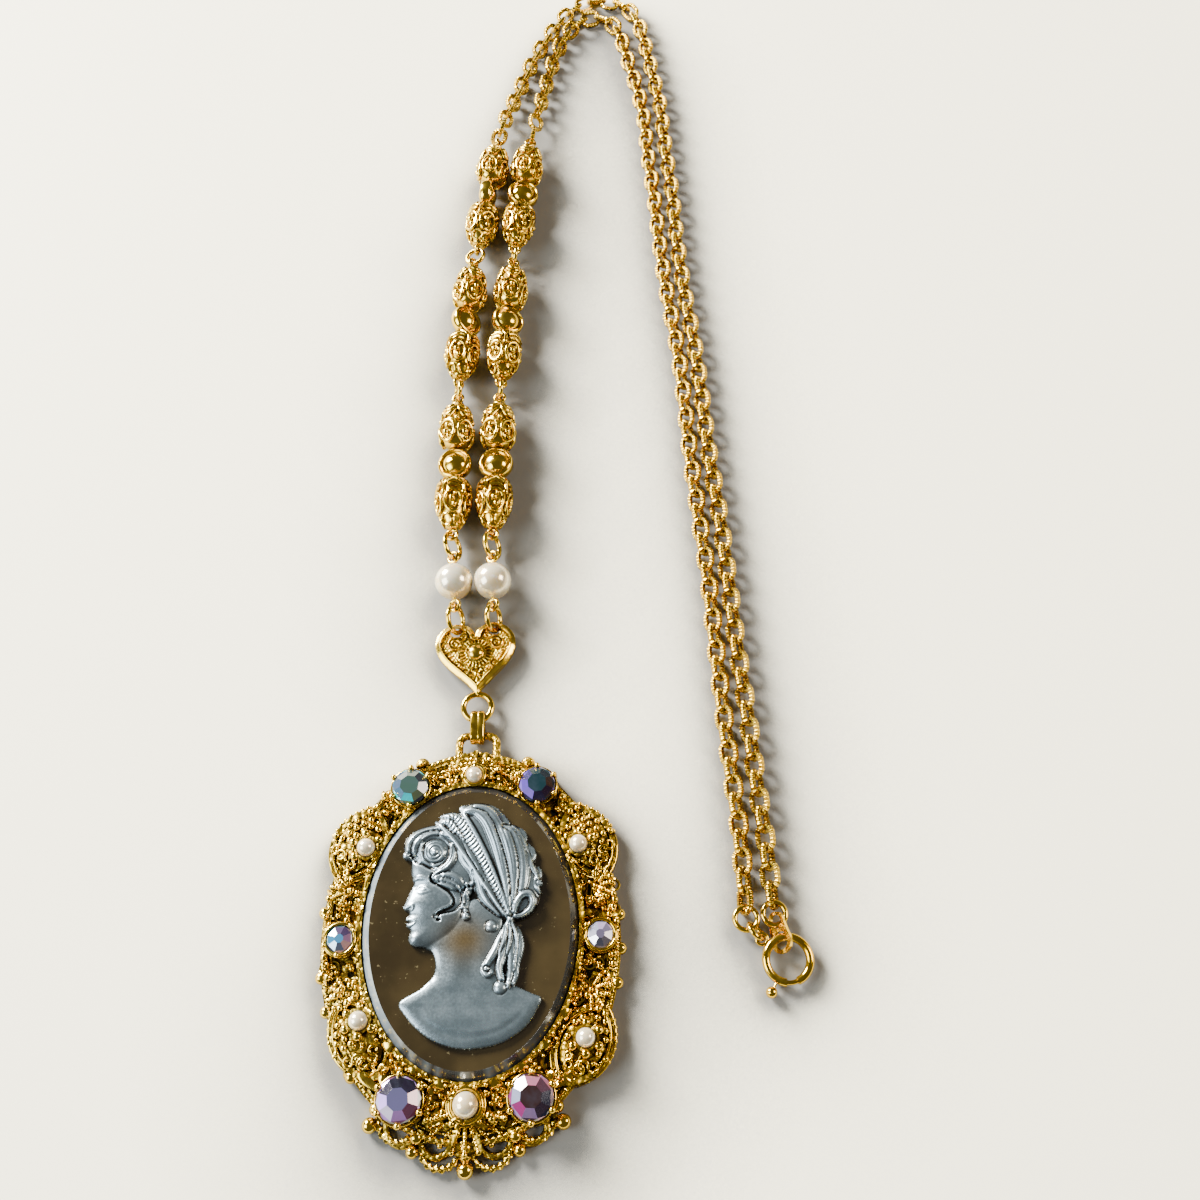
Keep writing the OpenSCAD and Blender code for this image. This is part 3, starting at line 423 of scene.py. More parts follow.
def carved_sheet(x, y, h, cover, top_z, foot_z, place=None):
    """A closed body whose top follows heights h where cover is positive, with its edge where cover is 0."""
    step = x[0, 1] - x[0, 0]
    gy, gx = np.gradient(cover, step)
    g = np.maximum(np.hypot(gx, gy), 0.3)
    keep = cover > 0
    quad = keep[:-1, :-1] & keep[1:, :-1] & keep[1:, 1:] & keep[:-1, 1:]
    used = np.zeros(keep.shape, int)
    for a, b in ((0, 0), (1, 0), (1, 1), (0, 1)):
        used[a : a + quad.shape[0], b : b + quad.shape[1]] += quad
    edge = (used > 0) & (used < 4)
    shift = np.where(edge, np.clip(cover / g, 0, 1.4 * step), 0)
    px, py = x - shift * gx / g, y - shift * gy / g
    index = np.full(keep.shape, -1)
    index[used > 0] = np.arange((used > 0).sum())
    verts = np.stack([px[used > 0], py[used > 0], top_z + h[used > 0]], 1)
    r, c = np.nonzero(quad)
    faces = np.stack([index[r, c], index[r, c + 1], index[r + 1, c + 1], index[r + 1, c]], 1)
    if place:
        verts[:, :2] = place(verts[:, :2])
    mesh = bpy.data.meshes.new("sheet")
    mesh.from_pydata((verts * MM).tolist(), [], faces.tolist())
    bm = bmesh.new()
    bm.from_mesh(mesh)
    rim = [e for e in bm.edges if e.is_boundary]
    made = bmesh.ops.extrude_edge_only(bm, edges=rim)["geom"]
    for v in made:
        if isinstance(v, bmesh.types.BMVert):
            v.co.z = foot_z * MM
    low = [e for e in made if isinstance(e, bmesh.types.BMEdge) and e.is_boundary]
    bmesh.ops.triangle_fill(bm, use_beauty=True, use_dissolve=False, edges=low)
    bm.to_mesh(mesh)
    bm.free()
    return mesh, used > 0


def vertex_values(mesh, name, values, rest=0.5):
    """A number for each corner of a mesh, for its material to read."""
    data = np.full(len(mesh.vertices), rest, np.float32)
    data[: len(values)] = values
    mesh.attributes.new(name, "FLOAT", "POINT").data.foreach_set("value", data)


# ---- materials


class Shade:
    """A value or colour in a material's nodes; sums, differences and products of it add Math nodes."""

    def __init__(self, tree, socket=None):
        self.tree, self.socket = tree, socket

    def node(self, kind, values=None, output=0, stops=None, **settings):
        """Adds a node: its settings first, then the values or links of its sockets."""
        made = self.tree.nodes.new(kind)
        for name, value in settings.items():
            setattr(made, name, value)
        if stops:
            ramp = made.color_ramp
            while len(ramp.elements) < len(stops):
                ramp.elements.new(0.5)
            for element, (at, colour) in zip(ramp.elements, stops):
                element.position, element.color = at, (*colour, 1)
        for name, value in (values or {}).items():
            if isinstance(value, Shade):
                self.tree.links.new(value.socket, made.inputs[name])
            else:
                made.inputs[name].default_value = value
        return Shade(self.tree, made.outputs[output])

    def maths(self, operation, a, b, clamp=False):
        """Adds a Math node."""
        return self.node("ShaderNodeMath", {0: a, 1: b}, operation=operation, use_clamp=clamp)

    def __add__(self, other):
        return self.maths("ADD", self, other)

    __radd__ = __add__

    def __mul__(self, other):
        return self.maths("MULTIPLY", self, other)

    __rmul__ = __mul__

    def __sub__(self, other):
        return self.maths("SUBTRACT", self, other)

    def __rsub__(self, other):
        return self.maths("SUBTRACT", other, self)

    def clamped(self):
        """This value, held between 0 and 1."""
        return self.maths("ADD", self, 0.0, clamp=True)

    def ramp(self, low, high):
        """0 below low, 1 above high, smooth between."""
        values = {"Value": self, "From Min": low, "From Max": high}
        return self.node("ShaderNodeMapRange", values, interpolation_type="SMOOTHSTEP")

    def blend(self, a, b):
        """Colour a where this value is 0, b where it is 1."""
        a, b = [(*c, 1) if isinstance(c, tuple) and len(c) == 3 else c for c in (a, b)]
        return self.node("ShaderNodeMix", {0: self, 6: a, 7: b}, output=2, data_type="RGBA")


def material(name, **values):
    """A new material: its nodes' root, its surface node and its object coordinates."""
    made = bpy.data.materials.new(name)
    made.use_nodes = True
    tree = made.node_tree
    surface = tree.nodes["Principled BSDF"]
    for socket, value in values.items():
        surface.inputs[socket.replace("_", " ")].default_value = value
    root = Shade(tree)
    where = root.node("ShaderNodeTexCoord", output=3)
    return made, root, surface, where


def feed(surface, **links):
    """Links values to the surface's sockets."""
    for socket, value in links.items():
        value.tree.links.new(value.socket, surface.inputs[socket.replace("_", " ")])


def noise(root, where, scale, detail=3.0):
    """Clouded noise: scale in cells a metre."""
    return root.node("ShaderNodeTexNoise",
                     {"Vector": where, "Scale": scale, "Detail": detail, "Roughness": 0.55})


def gilt(name, pale, deep, dark, roughness, patina, grain=0.25, reach=0.0009, beads=0.0, ridged=False):
    """Gilt metal: colour drifting at random from pale to deep and, by painted light, pale on the left and deep
    on the right; dark in its recesses, pitted, granulated or ridged.
    """
    made, root, surface, where = material(name, Metallic=1.0)
    cloud = noise(root, where, 180.0)
    # Painted light and shade: the gilt turns from pale on the left to deep on the right, as the light falls
    painted_side_light = root.node("ShaderNodeSeparateXYZ", {0: where}).ramp(-0.021, 0.021)
    shade = (cloud.ramp(0.3, 0.7) * 0.45 + painted_side_light * 0.55).clamped()
    colour = shade.blend(pale, deep)
    open_sky = root.node("ShaderNodeAmbientOcclusion", {"Distance": reach}, output=1, samples=6,
                         only_local=False)
    spots = noise(root, where, 900.0, 2.0)
    hidden = (1.0 - open_sky.ramp(0.25, 0.9)) * patina + spots.ramp(0.62, 0.8) * patina * 0.25
    fine = noise(root, where, 2600.0, 3.0)
    height, reach_up = fine, 0.00004
    if beads:
        cell = root.node("ShaderNodeTexVoronoi", {"Vector": where, "Scale": 1150.0})
        hidden = hidden + cell.ramp(0.34, 0.62) * beads
        height, reach_up = 1.0 - cell * cell, 0.0004
    if ridged:
        ends = read_attribute(root, "ends")
        wave = root.maths("SINE", read_attribute(root, "ridge") * (2 * math.pi), 0.0) * ends
        hidden = hidden + (0.0 - wave).clamped() * 0.55
        height, reach_up = wave, 0.00012
    hidden = hidden.clamped()
    rough = noise(root, where, 700.0, 2.0).ramp(0.3, 0.7) * 0.12 + hidden * 0.25 + roughness
    feed(surface, Base_Color=hidden.blend(colour, dark), Roughness=rough)
    feed(surface, Normal=relief_of(root, grain, reach_up, height))
    return made


def relief_of(root, strength, reach, height):
    """The surface's direction, turned by small heights."""
    return root.node("ShaderNodeBump", {"Strength": strength, "Distance": reach, "Height": height})


def read_attribute(root, name, output=2):
    """A value that the mesh holds at its corners; output 0 reads it as a colour."""
    return root.node("ShaderNodeAttribute", output=output, attribute_name=name)


# ---- settings a user would change


class CameoSettings(bpy.types.PropertyGroup):
    """Colours and sizes of the pendant."""

    gilt_pale: bpy.props.FloatVectorProperty(
        name="Pale gilt", description="Colour of the gilt where the light catches it",
        subtype="COLOR", size=3, min=0, max=1, default=(0.84, 0.60, 0.085))
    gilt_deep: bpy.props.FloatVectorProperty(
        name="Deep gilt", description="Colour of the gilt on the shaded side",
        subtype="COLOR", size=3, min=0, max=1, default=(0.76, 0.43, 0.006))
    patina: bpy.props.FloatVectorProperty(
        name="Patina", description="Colour of the gilt's dark recesses",
        subtype="COLOR", size=3, min=0, max=1, default=(0.05, 0.026, 0.002))
    glass_ground: bpy.props.FloatVectorProperty(
        name="Glass ground", description="Colour of the cameo's dark ground",
        subtype="COLOR", size=3, min=0, max=1, default=(0.016, 0.011, 0.004))
    relief_colour: bpy.props.FloatVectorProperty(
        name="Relief", description="Colour of the cameo's satin relief",
        subtype="COLOR", size=3, min=0, max=1, default=(0.13, 0.17, 0.19))
    pearl_colour: bpy.props.FloatVectorProperty(
        name="Pearl", description="Colour of the pearls",
        subtype="COLOR", size=3, min=0, max=1, default=(0.84, 0.76, 0.55))
    granule_size: bpy.props.FloatProperty(
        name="Granule size", description="Radius of the smallest gold granules",
        unit="LENGTH", min=0.0001, max=0.0006, default=0.00044, precision=5)
    granules: bpy.props.IntProperty(
        name="Granules", description="Number of loose granules strewn over the frame",
        min=0, max=2000, default=290)
    relief_step: bpy.props.FloatProperty(
        name="Relief step", description="Fineness of the carved relief",
        unit="LENGTH", min=0.00008, max=0.0004, default=0.0001, precision=5)


def settings():
    """The pendant's settings in the open scene."""
    return bpy.context.scene.cameo_settings


MATERIALS = {}


class CAMEO_OT_materials(bpy.types.Operator):
    """Makes the pendant's materials"""

    bl_idname = "cameo.materials"
    bl_label = "Materials"

    def execute(self, context):
        s = settings()
        pale, deep, dark = tuple(s.gilt_pale), tuple(s.gilt_deep), tuple(s.patina)
        MATERIALS["base"] = gilt("gilt_base", pale, deep, dark, 0.17, 0.8, 0.8, 0.0012, 0.8)
        MATERIALS["wire"] = gilt("gilt_wire", pale, deep, dark, 0.11, 0.7, 0.12, 0.0007)
        MATERIALS["polished"] = gilt("gilt_polished", pale, deep, dark, 0.09, 0.4, 0.06, 0.0005)
        MATERIALS["chain"] = gilt("gilt_chain", pale, deep, dark, 0.12, 0.6, 0.9, 0.0006, ridged=True)
        self.glass(tuple(s.glass_ground), tuple(s.relief_colour))
        self.pearl(tuple(s.pearl_colour))
        self.stone()
        return {"FINISHED"}

    def glass(self, ground, relief):
        """The dark polished ground, its bevel and the satin relief."""
        made, root, surface, where = material("glass_ground", Metallic=0.25, Coat_Weight=1.0,
                                              Coat_Roughness=0.03)
        cloud = noise(root, where, 90.0, 4.0)
        fleck = noise(root, where, 1400.0, 2.0)
        tone = cloud.ramp(0.3, 0.75).blend(ground, tuple(min(1, c * 2.4) for c in ground))
        feed(surface, Base_Color=fleck.ramp(0.68, 0.74).blend(tone, (0.10, 0.08, 0.04)))
        feed(surface, Roughness=cloud.ramp(0.2, 0.8) * 0.1 + 0.1)
        feed(surface, Normal=relief_of(root, 0.15, 0.00005, cloud))
        MATERIALS["ground"] = made

        made, root, surface, where = material("glass_edge", Metallic=0.2, Coat_Weight=0.6,
                                              Coat_Roughness=0.05)
        cloud = noise(root, where, 260.0, 3.0)
        # Painted reflection of the window, read from the sky attribute and clouded
        painted_window_reflection = (read_attribute(root, "sky") * (cloud * 0.5 + 0.75)).clamped()
        feed(surface, Base_Color=painted_window_reflection.blend((0.012, 0.009, 0.006), (0.17, 0.205, 0.225)))
        feed(surface, Roughness=cloud * 0.12 + 0.12)
        MATERIALS["bevel"] = made

        made, root, surface, where = material("glass_relief", Metallic=0.8, Coat_Weight=0.25,
                                              Coat_Roughness=0.2)
        painted_shade_and_highlight = read_attribute(root, "painted_shade_and_highlight")
        painted_warm_reflection = read_attribute(root, "painted_warm_reflection")
        cloud = noise(root, where, 420.0, 4.0)
        grit = noise(root, where, 3200.0, 2.0)
        light = cloud.ramp(0.3, 0.7).blend(relief, tuple(min(1, c * 1.28 + 0.02) for c in relief))
        # Painted warm reflection over the lower cheek and neck
        tone = (painted_warm_reflection * 0.9).clamped().blend(light, (0.16, 0.105, 0.035))
        # Painted shade in the relief's hollows
        deep = (1.0 - painted_shade_and_highlight.ramp(0.2, 0.5)).blend(tone, (0.016, 0.014, 0.011))
        # Painted bluish highlights on the relief's crests
        bright = painted_shade_and_highlight.ramp(0.52, 0.85) * 0.8
        feed(surface, Base_Color=bright.blend(deep, (0.48, 0.60, 0.66)))
        feed(surface, Roughness=grit.ramp(0.2, 0.8) * 0.12 + 0.2)
        feed(surface, Normal=relief_of(root, 0.3, 0.00003, grit))
        MATERIALS["relief"] = made

    def pearl(self, colour):
        """Clouded pearl."""
        made, root, surface, where = material(
            "pearl", Metallic=0.5, Coat_Weight=0.8, Coat_Roughness=0.05,
            Subsurface_Weight=0.08, Subsurface_Scale=0.0006)
        cloud = noise(root, where, 420.0, 3.0)
        bloom = noise(root, where, 1500.0, 2.0)
        tone = cloud.ramp(0.3, 0.7).blend(colour, (0.80, 0.62, 0.34))
        feed(surface, Base_Color=bloom.ramp(0.5, 0.8).blend(tone, (0.86, 0.80, 0.70)))
        feed(surface, Roughness=bloom * 0.08 + 0.16)
        feed(surface, Normal=relief_of(root, 0.12, 0.00006, bloom))
        MATERIALS["pearl"] = made

    def stone(self):
        """Cut stone: each facet's colour is the stone's own colour with a painted reflection."""
        made, root, surface, where = material("cut_stone", Metallic=0.3, Coat_Weight=1.0, Coat_Roughness=0.02)
        facet = read_attribute(root, "facet", 0)
        cloud = noise(root, where, 700.0, 3.0)
        feed(surface, Base_Color=(cloud.ramp(0.35, 0.75) * 0.18).clamped().blend(facet, (0.05, 0.06, 0.09)))
        feed(surface, Roughness=cloud * 0.08 + 0.05)
        MATERIALS["stone"] = made


# ---- the pieces


class CAMEO_OT_cameo(bpy.types.Operator):
    """Models the bevelled glass and its carved relief"""

    bl_idname = "cameo.cameo"
    bl_label = "Cameo"

    # The head's own outline, calm and of common proportions, then the neck and the bust
    FACE = [
        (-7.7, 10.6), (-8.25, 9.2), (-8.4, 7.7), (-8.2, 6.5), (-7.95, 5.75), (-8.2, 4.9), (-8.65, 3.8),
        (-9.15, 2.7), (-9.2, 2.3), (-8.85, 2.02), (-8.42, 1.8), (-8.4, 1.35), (-8.68, 0.92),
        (-8.72, 0.62), (-8.42, 0.42), (-8.62, 0.15), (-8.55, -0.3), (-8.15, -0.62), (-8.1, -1.0),
        (-8.32, -1.7), (-8.1, -2.45), (-7.4, -2.95), (-6.2, -3.05), (-4.6, -2.75), (-3.0, -2.0),
        (-1.7, -0.9), (-0.9, 0.6), (-0.5, 2.6), (0.6, 5.0), (1.5, 8.5), (-1.0, 12.0), (-5.5, 12.4),
    ]
    NECK = [
        (-6.2, -2.2), (-5.0, -3.6), (-4.55, -4.8), (-4.5, -6.0), (-4.9, -7.1), (-6.0, -8.2),
        (-6.6, -9.6), (0, -11), (7.4, -9.8), (6.6, -8.4), (5.6, -7.6), (5.0, -6.2), (4.7, -4.0),
        (4.6, -1.0), (4.2, 1.6), (0.0, 3.4),
    ]
    BUST = [
        (-4.6, -7.2), (-6.4, -8.5), (-9.1, -10.15), (-8.3, -11.8), (-6.8, -13.4), (-5.1, -14.7),
        (-3.2, -15.6), (-1.3, -16.1), (0.6, -16.2), (2.6, -16.0), (4.6, -15.5), (6.5, -14.5),
        (8.2, -13.1), (9.2, -11.6), (9.9, -9.9), (8.6, -9.2), (6.8, -8.4), (5.2, -7.3), (0, -6.4),
    ]
    HAIR = [
        (-9.2, 9.9), (-9.6, 11.2), (-9.0, 12.4), (-7.8, 13.2), (-6.2, 13.7), (-4.9, 14.1),
        (-4.6, 15.3), (-3.2, 15.8), (-1.7, 15.6), (-1.3, 16.2), (0.1, 16.9), (2.0, 16.7), (3.6, 15.6),
        (4.6, 13.9), (6.0, 13.6), (7.3, 12.0), (8.3, 9.5), (9.5, 6.6), (9.8, 4.6), (9.2, 2.0),
        (7.3, 0.6), (5.6, 0.2), (4.2, 0.9), (2.4, 2.2), (1.0, 3.6), (-0.2, 5.2), (-1.8, 4.6),
        (-4.4, 5.4), (-5.6, 6.4), (-5.4, 7.4), (-6.6, 8.0), (-7.4, 8.4), (-7.9, 9.4),
    ]
    # Locks: points, then widths along it, rise, number of grooves along it, pitch of ribs across it
    LOCKS = [
        ([(-4.6, 13.9), (-3.4, 14.3), (-2.0, 12.9), (-0.2, 10.4), (1.6, 7.3), (3.3, 4.4), (4.9, 1.6)],
         [1.1, 1.7, 2.1, 1.9, 1.4, 0.7], 0.5, 0, 0.58),
        ([(-3.6, 15.0), (-2.2, 15.0), (-0.8, 13.2), (1.0, 10.2), (2.7, 6.9), (4.2, 3.7), (5.3, 1.2)],
         [1.2, 1.8, 2.0, 1.7, 1.1, 0.4], 0.55, 0, 0.58),
        ([(-1.2, 16.0), (0.8, 16.0), (2.6, 14.4), (3.9, 11.4), (4.7, 8.0), (5.2, 4.8), (5.6, 1.2)],
         [1.6, 2.6, 2.9, 2.6, 2.0, 1.3, 0.5], 0.62, 5, 0),
        ([(0.4, 16.6), (2.4, 16.1), (4.1, 14.2), (5.4, 11.2), (6.1, 8.0), (6.2, 5.0), (5.9, 1.4)],
         [1.0, 1.8, 2.4, 2.4, 1.9, 1.2, 0.5], 0.55, 4, 0),
        ([(4.6, 13.6), (6.0, 12.8), (7.0, 10.6), (7.5, 8.0), (7.4, 5.4), (6.8, 3.0), (6.2, 1.4)],
         [0.8, 1.5, 1.7, 1.7, 1.5, 1.0, 0.5], 0.42, 3, 0),
        ([(5.9, 13.5), (7.2, 12.4), (7.7, 10.9), (8.6, 9.6), (8.6, 8.0), (9.5, 6.8), (9.3, 5.2), (9.7, 4.2)],
         [0.7, 1.2, 0.8, 1.3, 0.8, 1.25, 0.8, 0.6], 0.5, 2, 0),
        ([(-2.4, 11.9), (-0.9, 10.2), (0.5, 8.2), (1.6, 6.2), (2.7, 4.3), (3.8, 2.6), (4.7, 1.2)],
         [1.3, 1.5, 1.5, 1.4, 1.3, 1.0, 0.5], 0.42, 3, 0),
        ([(-4.4, 12.6), (-2.8, 12.0), (-1.6, 10.4), (-0.7, 8.6), (0.3, 7.3), (0.6, 6.0), (-0.1, 5.2)],
         [0.8, 1.3, 1.5, 1.4, 1.3, 1.1, 0.5], 0.45, 3, 0),
        ([(0.6, 6.9), (1.3, 5.7), (1.6, 4.3), (2.3, 2.9), (3.3, 1.8), (4.0, 1.1)],
         [0.8, 1.4, 1.4, 1.3, 0.9, 0.5], 0.5, 3, 0),
        ([(-4.8, 13.4), (-6.4, 13.2), (-7.9, 12.5), (-8.8, 11.3), (-8.9, 10.0), (-8.6, 9.2)],
         [1.3, 1.3, 1.3, 1.2, 0.9, 0.5], 0.5, 2, 0),
        ([(-4.8, 12.7), (-6.2, 12.4), (-7.4, 11.5), (-7.9, 10.2), (-7.6, 9.0), (-6.9, 8.4)],
         [0.9, 1.1, 1.2, 1.1, 0.9, 0.4], 0.4, 3, 0),
        ([(-6.9, 11.4), (-7.1, 10.2), (-6.7, 8.9), (-5.9, 8.1), (-5.2, 7.6)],
         [0.5, 0.9, 1.0, 0.9, 0.4], 0.35, 2, 0),
        ([(-2.7, 10.9), (-2.5, 9.4), (-3.1, 8.1), (-4.4, 7.3), (-5.3, 6.6), (-5.1, 5.8), (-4.2, 5.8),
          (-3.9, 6.2)],
         [0.6, 1.2, 1.2, 1.1, 0.8, 0.6, 0.5, 0.4], 0.55, 3, 0),
        ([(-3.8, 6.7), (-2.6, 6.6), (-1.6, 6.0), (-1.0, 5.0), (-1.2, 4.0)],
         [0.5, 1.0, 1.1, 0.9, 0.4], 0.4, 3, 0),
        ([(-4.6, 5.6), (-3.2, 5.1), (-2.2, 4.4), (-1.7, 3.4), (-2.1, 2.3), (-3.2, 1.8), (-4.1, 1.5),
          (-4.5, 0.9), (-4.2, 0.6)],
         [0.5, 1.0, 1.3, 1.4, 1.3, 0.9, 0.6, 0.45, 0.4], 0.5, 4, 0),
        ([(6.2, 1.5), (6.5, 2.7), (7.2, 3.7), (8.2, 3.9), (8.8, 3.0), (8.4, 1.8), (7.3, 1.0), (6.3, 0.9)],
         [0.7, 0.9, 1.0, 1.0, 1.0, 0.9, 0.8, 0.6], 0.65, 2, 0),
    ]
    TAIL = [
        ([(5.4, 0.4), (4.8, -1.5), (3.9, -3.4), (2.8, -5.0), (2.2, -6.2), (2.6, -6.9), (3.2, -6.5)],
         [0.7, 1.2, 1.4, 1.2, 0.9, 0.8, 0.5], 0.55, 3, 0),
        ([(5.5, 0.4), (5.2, -2.0), (4.7, -4.2), (4.3, -6.0), (4.6, -7.4)],
         [0.7, 1.3, 1.4, 1.2, 0.8], 0.7, 2, 0),
        ([(5.6, 0.4), (6.0, -1.8), (5.9, -4.0), (5.8, -6.0), (5.6, -7.6), (5.1, -8.6)],
         [0.7, 1.4, 1.5, 1.2, 1.0, 0.6], 0.6, 3, 0),
        ([(5.7, 0.4), (6.8, -1.6), (7.0, -3.4), (6.6, -5.4), (6.5, -7.0), (6.1, -8.0)],
         [0.6, 1.0, 1.2, 1.0, 0.8, 0.5], 0.5, 2, 0),
    ]
    RIBBONS = [
        [(-5.0, 14.2), (-2.8, 12.0), (-0.4, 8.8), (2.0, 5.2), (3.9, 2.4), (5.5, 0.5)],
        [(-1.5, 15.8), (0.3, 13.0), (2.0, 9.8), (3.5, 6.5), (4.7, 3.5), (5.6, 0.6)],
    ]

    def heights(self, x, y):
        """Heights of the relief over its ground, and how deep each place lies within its outline."""
        cover = np.full(x.shape, -9.0)
        h = np.zeros(x.shape)

        def over(depth, height, lip=0.3):
            nonlocal h, cover
            cover = np.maximum(cover, depth)
            h = np.where(depth > 0, np.maximum(h, lip + height), h)

        bust = outline_depth(smooth_path(self.BUST, 6, True), x, y)
        slab = rounded(bust, 0.7, 0.42) + 0.1 * rounded(bust - 0.75, 0.25, 1.0)
        slab += 0.14 * rounded(bust - 1.75, 0.3, 1.0) * np.clip((-11.0 - y) / 1.5, 0, 1)
        over(bust, slab + bump(x, y, (1.0, -11.0), 6.0, 0.25, 0.6))
        neck = outline_depth(smooth_path(self.NECK, 6, True), x, y)
        cords = bump(x, y, (-1.6, -5.5), 1.1, 0.08, 3.0) - bump(x, y, (0.6, -5.0), 1.0, 0.08, 3.0)
        over(neck, rounded(neck, 3.6, 0.75) + cords)
        h = softened(h, 3) * (cover > 0.35) + h * (cover <= 0.35)

        face = outline_depth(smooth_path(self.FACE, 6, True), x, y)
        f = rounded(face, 3.2, 1.05)
        f += (bump(x, y, (-5.6, 2.7), 1.9, 0.16) + bump(x, y, (-7.4, -1.9), 0.8, 0.13)
              + bump(x, y, (-7.7, 8.2), 1.6, 0.08))
        f -= bump(x, y, (-7.0, 5.0), 1.0, 0.30, 0.75) + bump(x, y, (-7.6, 1.5), 0.6, 0.08)
        f += bump(x, y, (-6.7, 4.75), 0.66, 0.26, 0.66)
        # Brow, upper and lower lid, nostril, upper and lower lip: points, widths, rise
        for points, width, rise in (
            ([(-8.0, 6.05), (-7.3, 6.42), (-6.2, 6.3), (-5.2, 5.75)], [0.4, 0.75, 0.6, 0.2], 0.13),
            ([(-7.55, 4.75), (-7.0, 5.25), (-6.2, 5.1), (-5.35, 4.5)], [0.14, 0.26, 0.24, 0.12], 0.16),
            ([(-7.45, 4.5), (-6.9, 4.25), (-6.2, 4.3), (-5.6, 4.5)], [0.12, 0.2, 0.18, 0.1], 0.09),
            ([(-8.35, 2.55), (-8.0, 2.65), (-7.8, 2.3), (-8.1, 1.95)], [0.3, 0.42, 0.36, 0.24], 0.13),
            ([(-8.75, 0.8), (-8.25, 0.82), (-7.75, 0.66), (-7.3, 0.45)], [0.4, 0.44, 0.34, 0.12], 0.13),
            ([(-8.6, 0.02), (-8.1, 0.0), (-7.7, 0.14), (-7.35, 0.36)], [0.42, 0.44, 0.3, 0.1], 0.12),
        ):
            f += rise * hump(along_stroke(points, width, x, y)[1])
        mouth = along_stroke([(-8.7, 0.42), (-8.1, 0.4), (-7.3, 0.42)], [0.14, 0.14, 0.08], x, y)[1]
        f -= 0.1 * hump(mouth) ** 2
        over(face, f, 0.35)
        # Ear: its shell and its lobe
        for points, width, rise in (
            ([(-0.9, 2.3), (-1.35, 3.4), (-1.2, 4.6), (-0.5, 5.3), (0.1, 4.8)], [0.5, 0.5, 0.5, 0.5, 0.4],
             0.30),
            ([(-0.7, 2.2), (-0.3, 3.0), (-0.35, 3.9), (-0.7, 4.3)], [0.7, 0.5, 0.4, 0.3], 0.22),
        ):
            h += rise * hump(along_stroke(points, width, x, y)[1])

        hair = outline_depth(smooth_path(self.HAIR, 6, True), x, y)
        mass = rounded(hair, 2.6, 1.0)
        over(hair, mass, 0.35)
        under = np.where(hair > 0, mass + 0.35, 0.35)

        def lock(points, widths, rise, grooves, ribs, under):
            nonlocal h, cover
            s, v, hw = along_stroke(points, widths, x, y)
            top = rise * hump(v)
            if grooves:
                top = top - 0.15 * ripple((grooves + 1) * (v + 1) / 2, 1.4)
            if ribs:
                top = top - 0.2 * ripple((s + 0.35 * v + 0.4 * v * v) / ribs, 1.5)
            h = np.where(np.abs(v) < 1, np.maximum(under + top, under * 0.9), h)
            cover = np.maximum(cover, np.where(np.abs(v) < 3, (1 - np.abs(v)) * hw, -9))

        for one in self.LOCKS:
            lock(*one, under)
        # The spiral at the temple, with lines flowing round it
        cx, cy = -5.0, 9.9
        r = np.hypot(x - cx, y - cy)
        turn = np.arctan2(y - cy, x - cx) / (2 * math.pi)
        flow = np.clip((3.3 - r) / 0.9, 0, 1) * (under > 0.4)
        h = h - 0.2 * flow * ripple(r / 0.5 + 0.6 * turn, 1.4)
        coil = under + 0.5 * hump(r / 1.9) - 0.24 * ripple(r / 0.46 + turn)
        coil = np.where(r < 0.45, under + 0.6 * hump(r / 0.55), coil)
        h = np.where(r < 1.55, np.maximum(coil, 0.4), h)
        for one in self.TAIL:
            lock(*one, np.maximum(np.minimum(h, 0.9), 0.5))
        for ribbon in self.RIBBONS:
            _, v, hw = along_stroke(ribbon, [0.55, 0.55, 0.5, 0.45, 0.4, 0.35], x, y)
            h = np.where(np.abs(v) < 1, under + 0.42 + 0.16 * hump(v), h)
            cover = np.maximum(cover, np.where(np.abs(v) < 3, (1 - np.abs(v)) * hw, -9))
        # Round ends of the locks, and the earring: place, radius, rise, base
        for (bx, by), size, rise, base in (
            ((3.0, -0.4), 0.88, 0.95, 0.5), ((4.4, -8.5), 0.98, 0.95, 0.55), ((5.6, 0.5), 0.5, 0.7, 0.9),
            ((-9.1, 9.6), 0.5, 0.6, 0.7), ((2.5, -6.0), 0.45, 0.6, 0.7), ((-4.6, 1.0), 0.32, 0.5, 0.9),
            ((-0.5, 1.0), 0.5, 0.55, 1.15), ((-0.55, 1.75), 0.26, 0.4, 1.2), ((9.5, 5.4), 0.5, 0.5, 0.8),
        ):
            r = np.hypot(x - bx, y - by) / size
            h = np.where(r < 1, np.maximum(h * 0.6, base + rise * hump(r) * 0.8), h)
            cover = np.maximum(cover, (1 - r) * size)
        return np.minimum(h, 2.2), cover

    def bevel(self):
        """The glass's polished bevel, with a painted reflection of the window: pale where it faces the window,
        dark elsewhere.
        """
        rng = random.Random(7)
        heap, sky, n = Heap(), [], 120
        profile = ((0.05, GROUND_Z - 1.12), (-1.08, GROUND_Z + 0.02), (-1.3, GROUND_Z - 0.3),
                   (-0.1, GROUND_Z - 1.3))
        verts, m = [], len(profile)
        for k in range(n):
            turn = 360 * k / n
            a = math.radians(turn)
            for out, z in profile:
                verts.append([(GLASS_W / 2 + out) * math.cos(a), (GLASS_H / 2 + out) * math.sin(a), z])
            # Painted reflection of the window by turn round the bevel, carried to its material in the sky
            # attribute
            painted_window_reflection = np.interp(turn, [0, 118, 138, 215, 235, 290, 330, 360],
                            [0.05, 0.05, 1, 1, 0.25, 0.25, 0.08, 0.05])
            if 220 < turn < 300:
                painted_window_reflection += rng.choice((-0.15, 0.0, 0.3))
            sky += [painted_window_reflection] * m
        heap.add(verts, strips(n, m, True))
        obj = heap.piece("cameo_bevel", MATERIALS["bevel"], "cameo_glass", (), 40)
        vertex_values(obj.data, "sky", sky, 0.0)

    def execute(self, context):
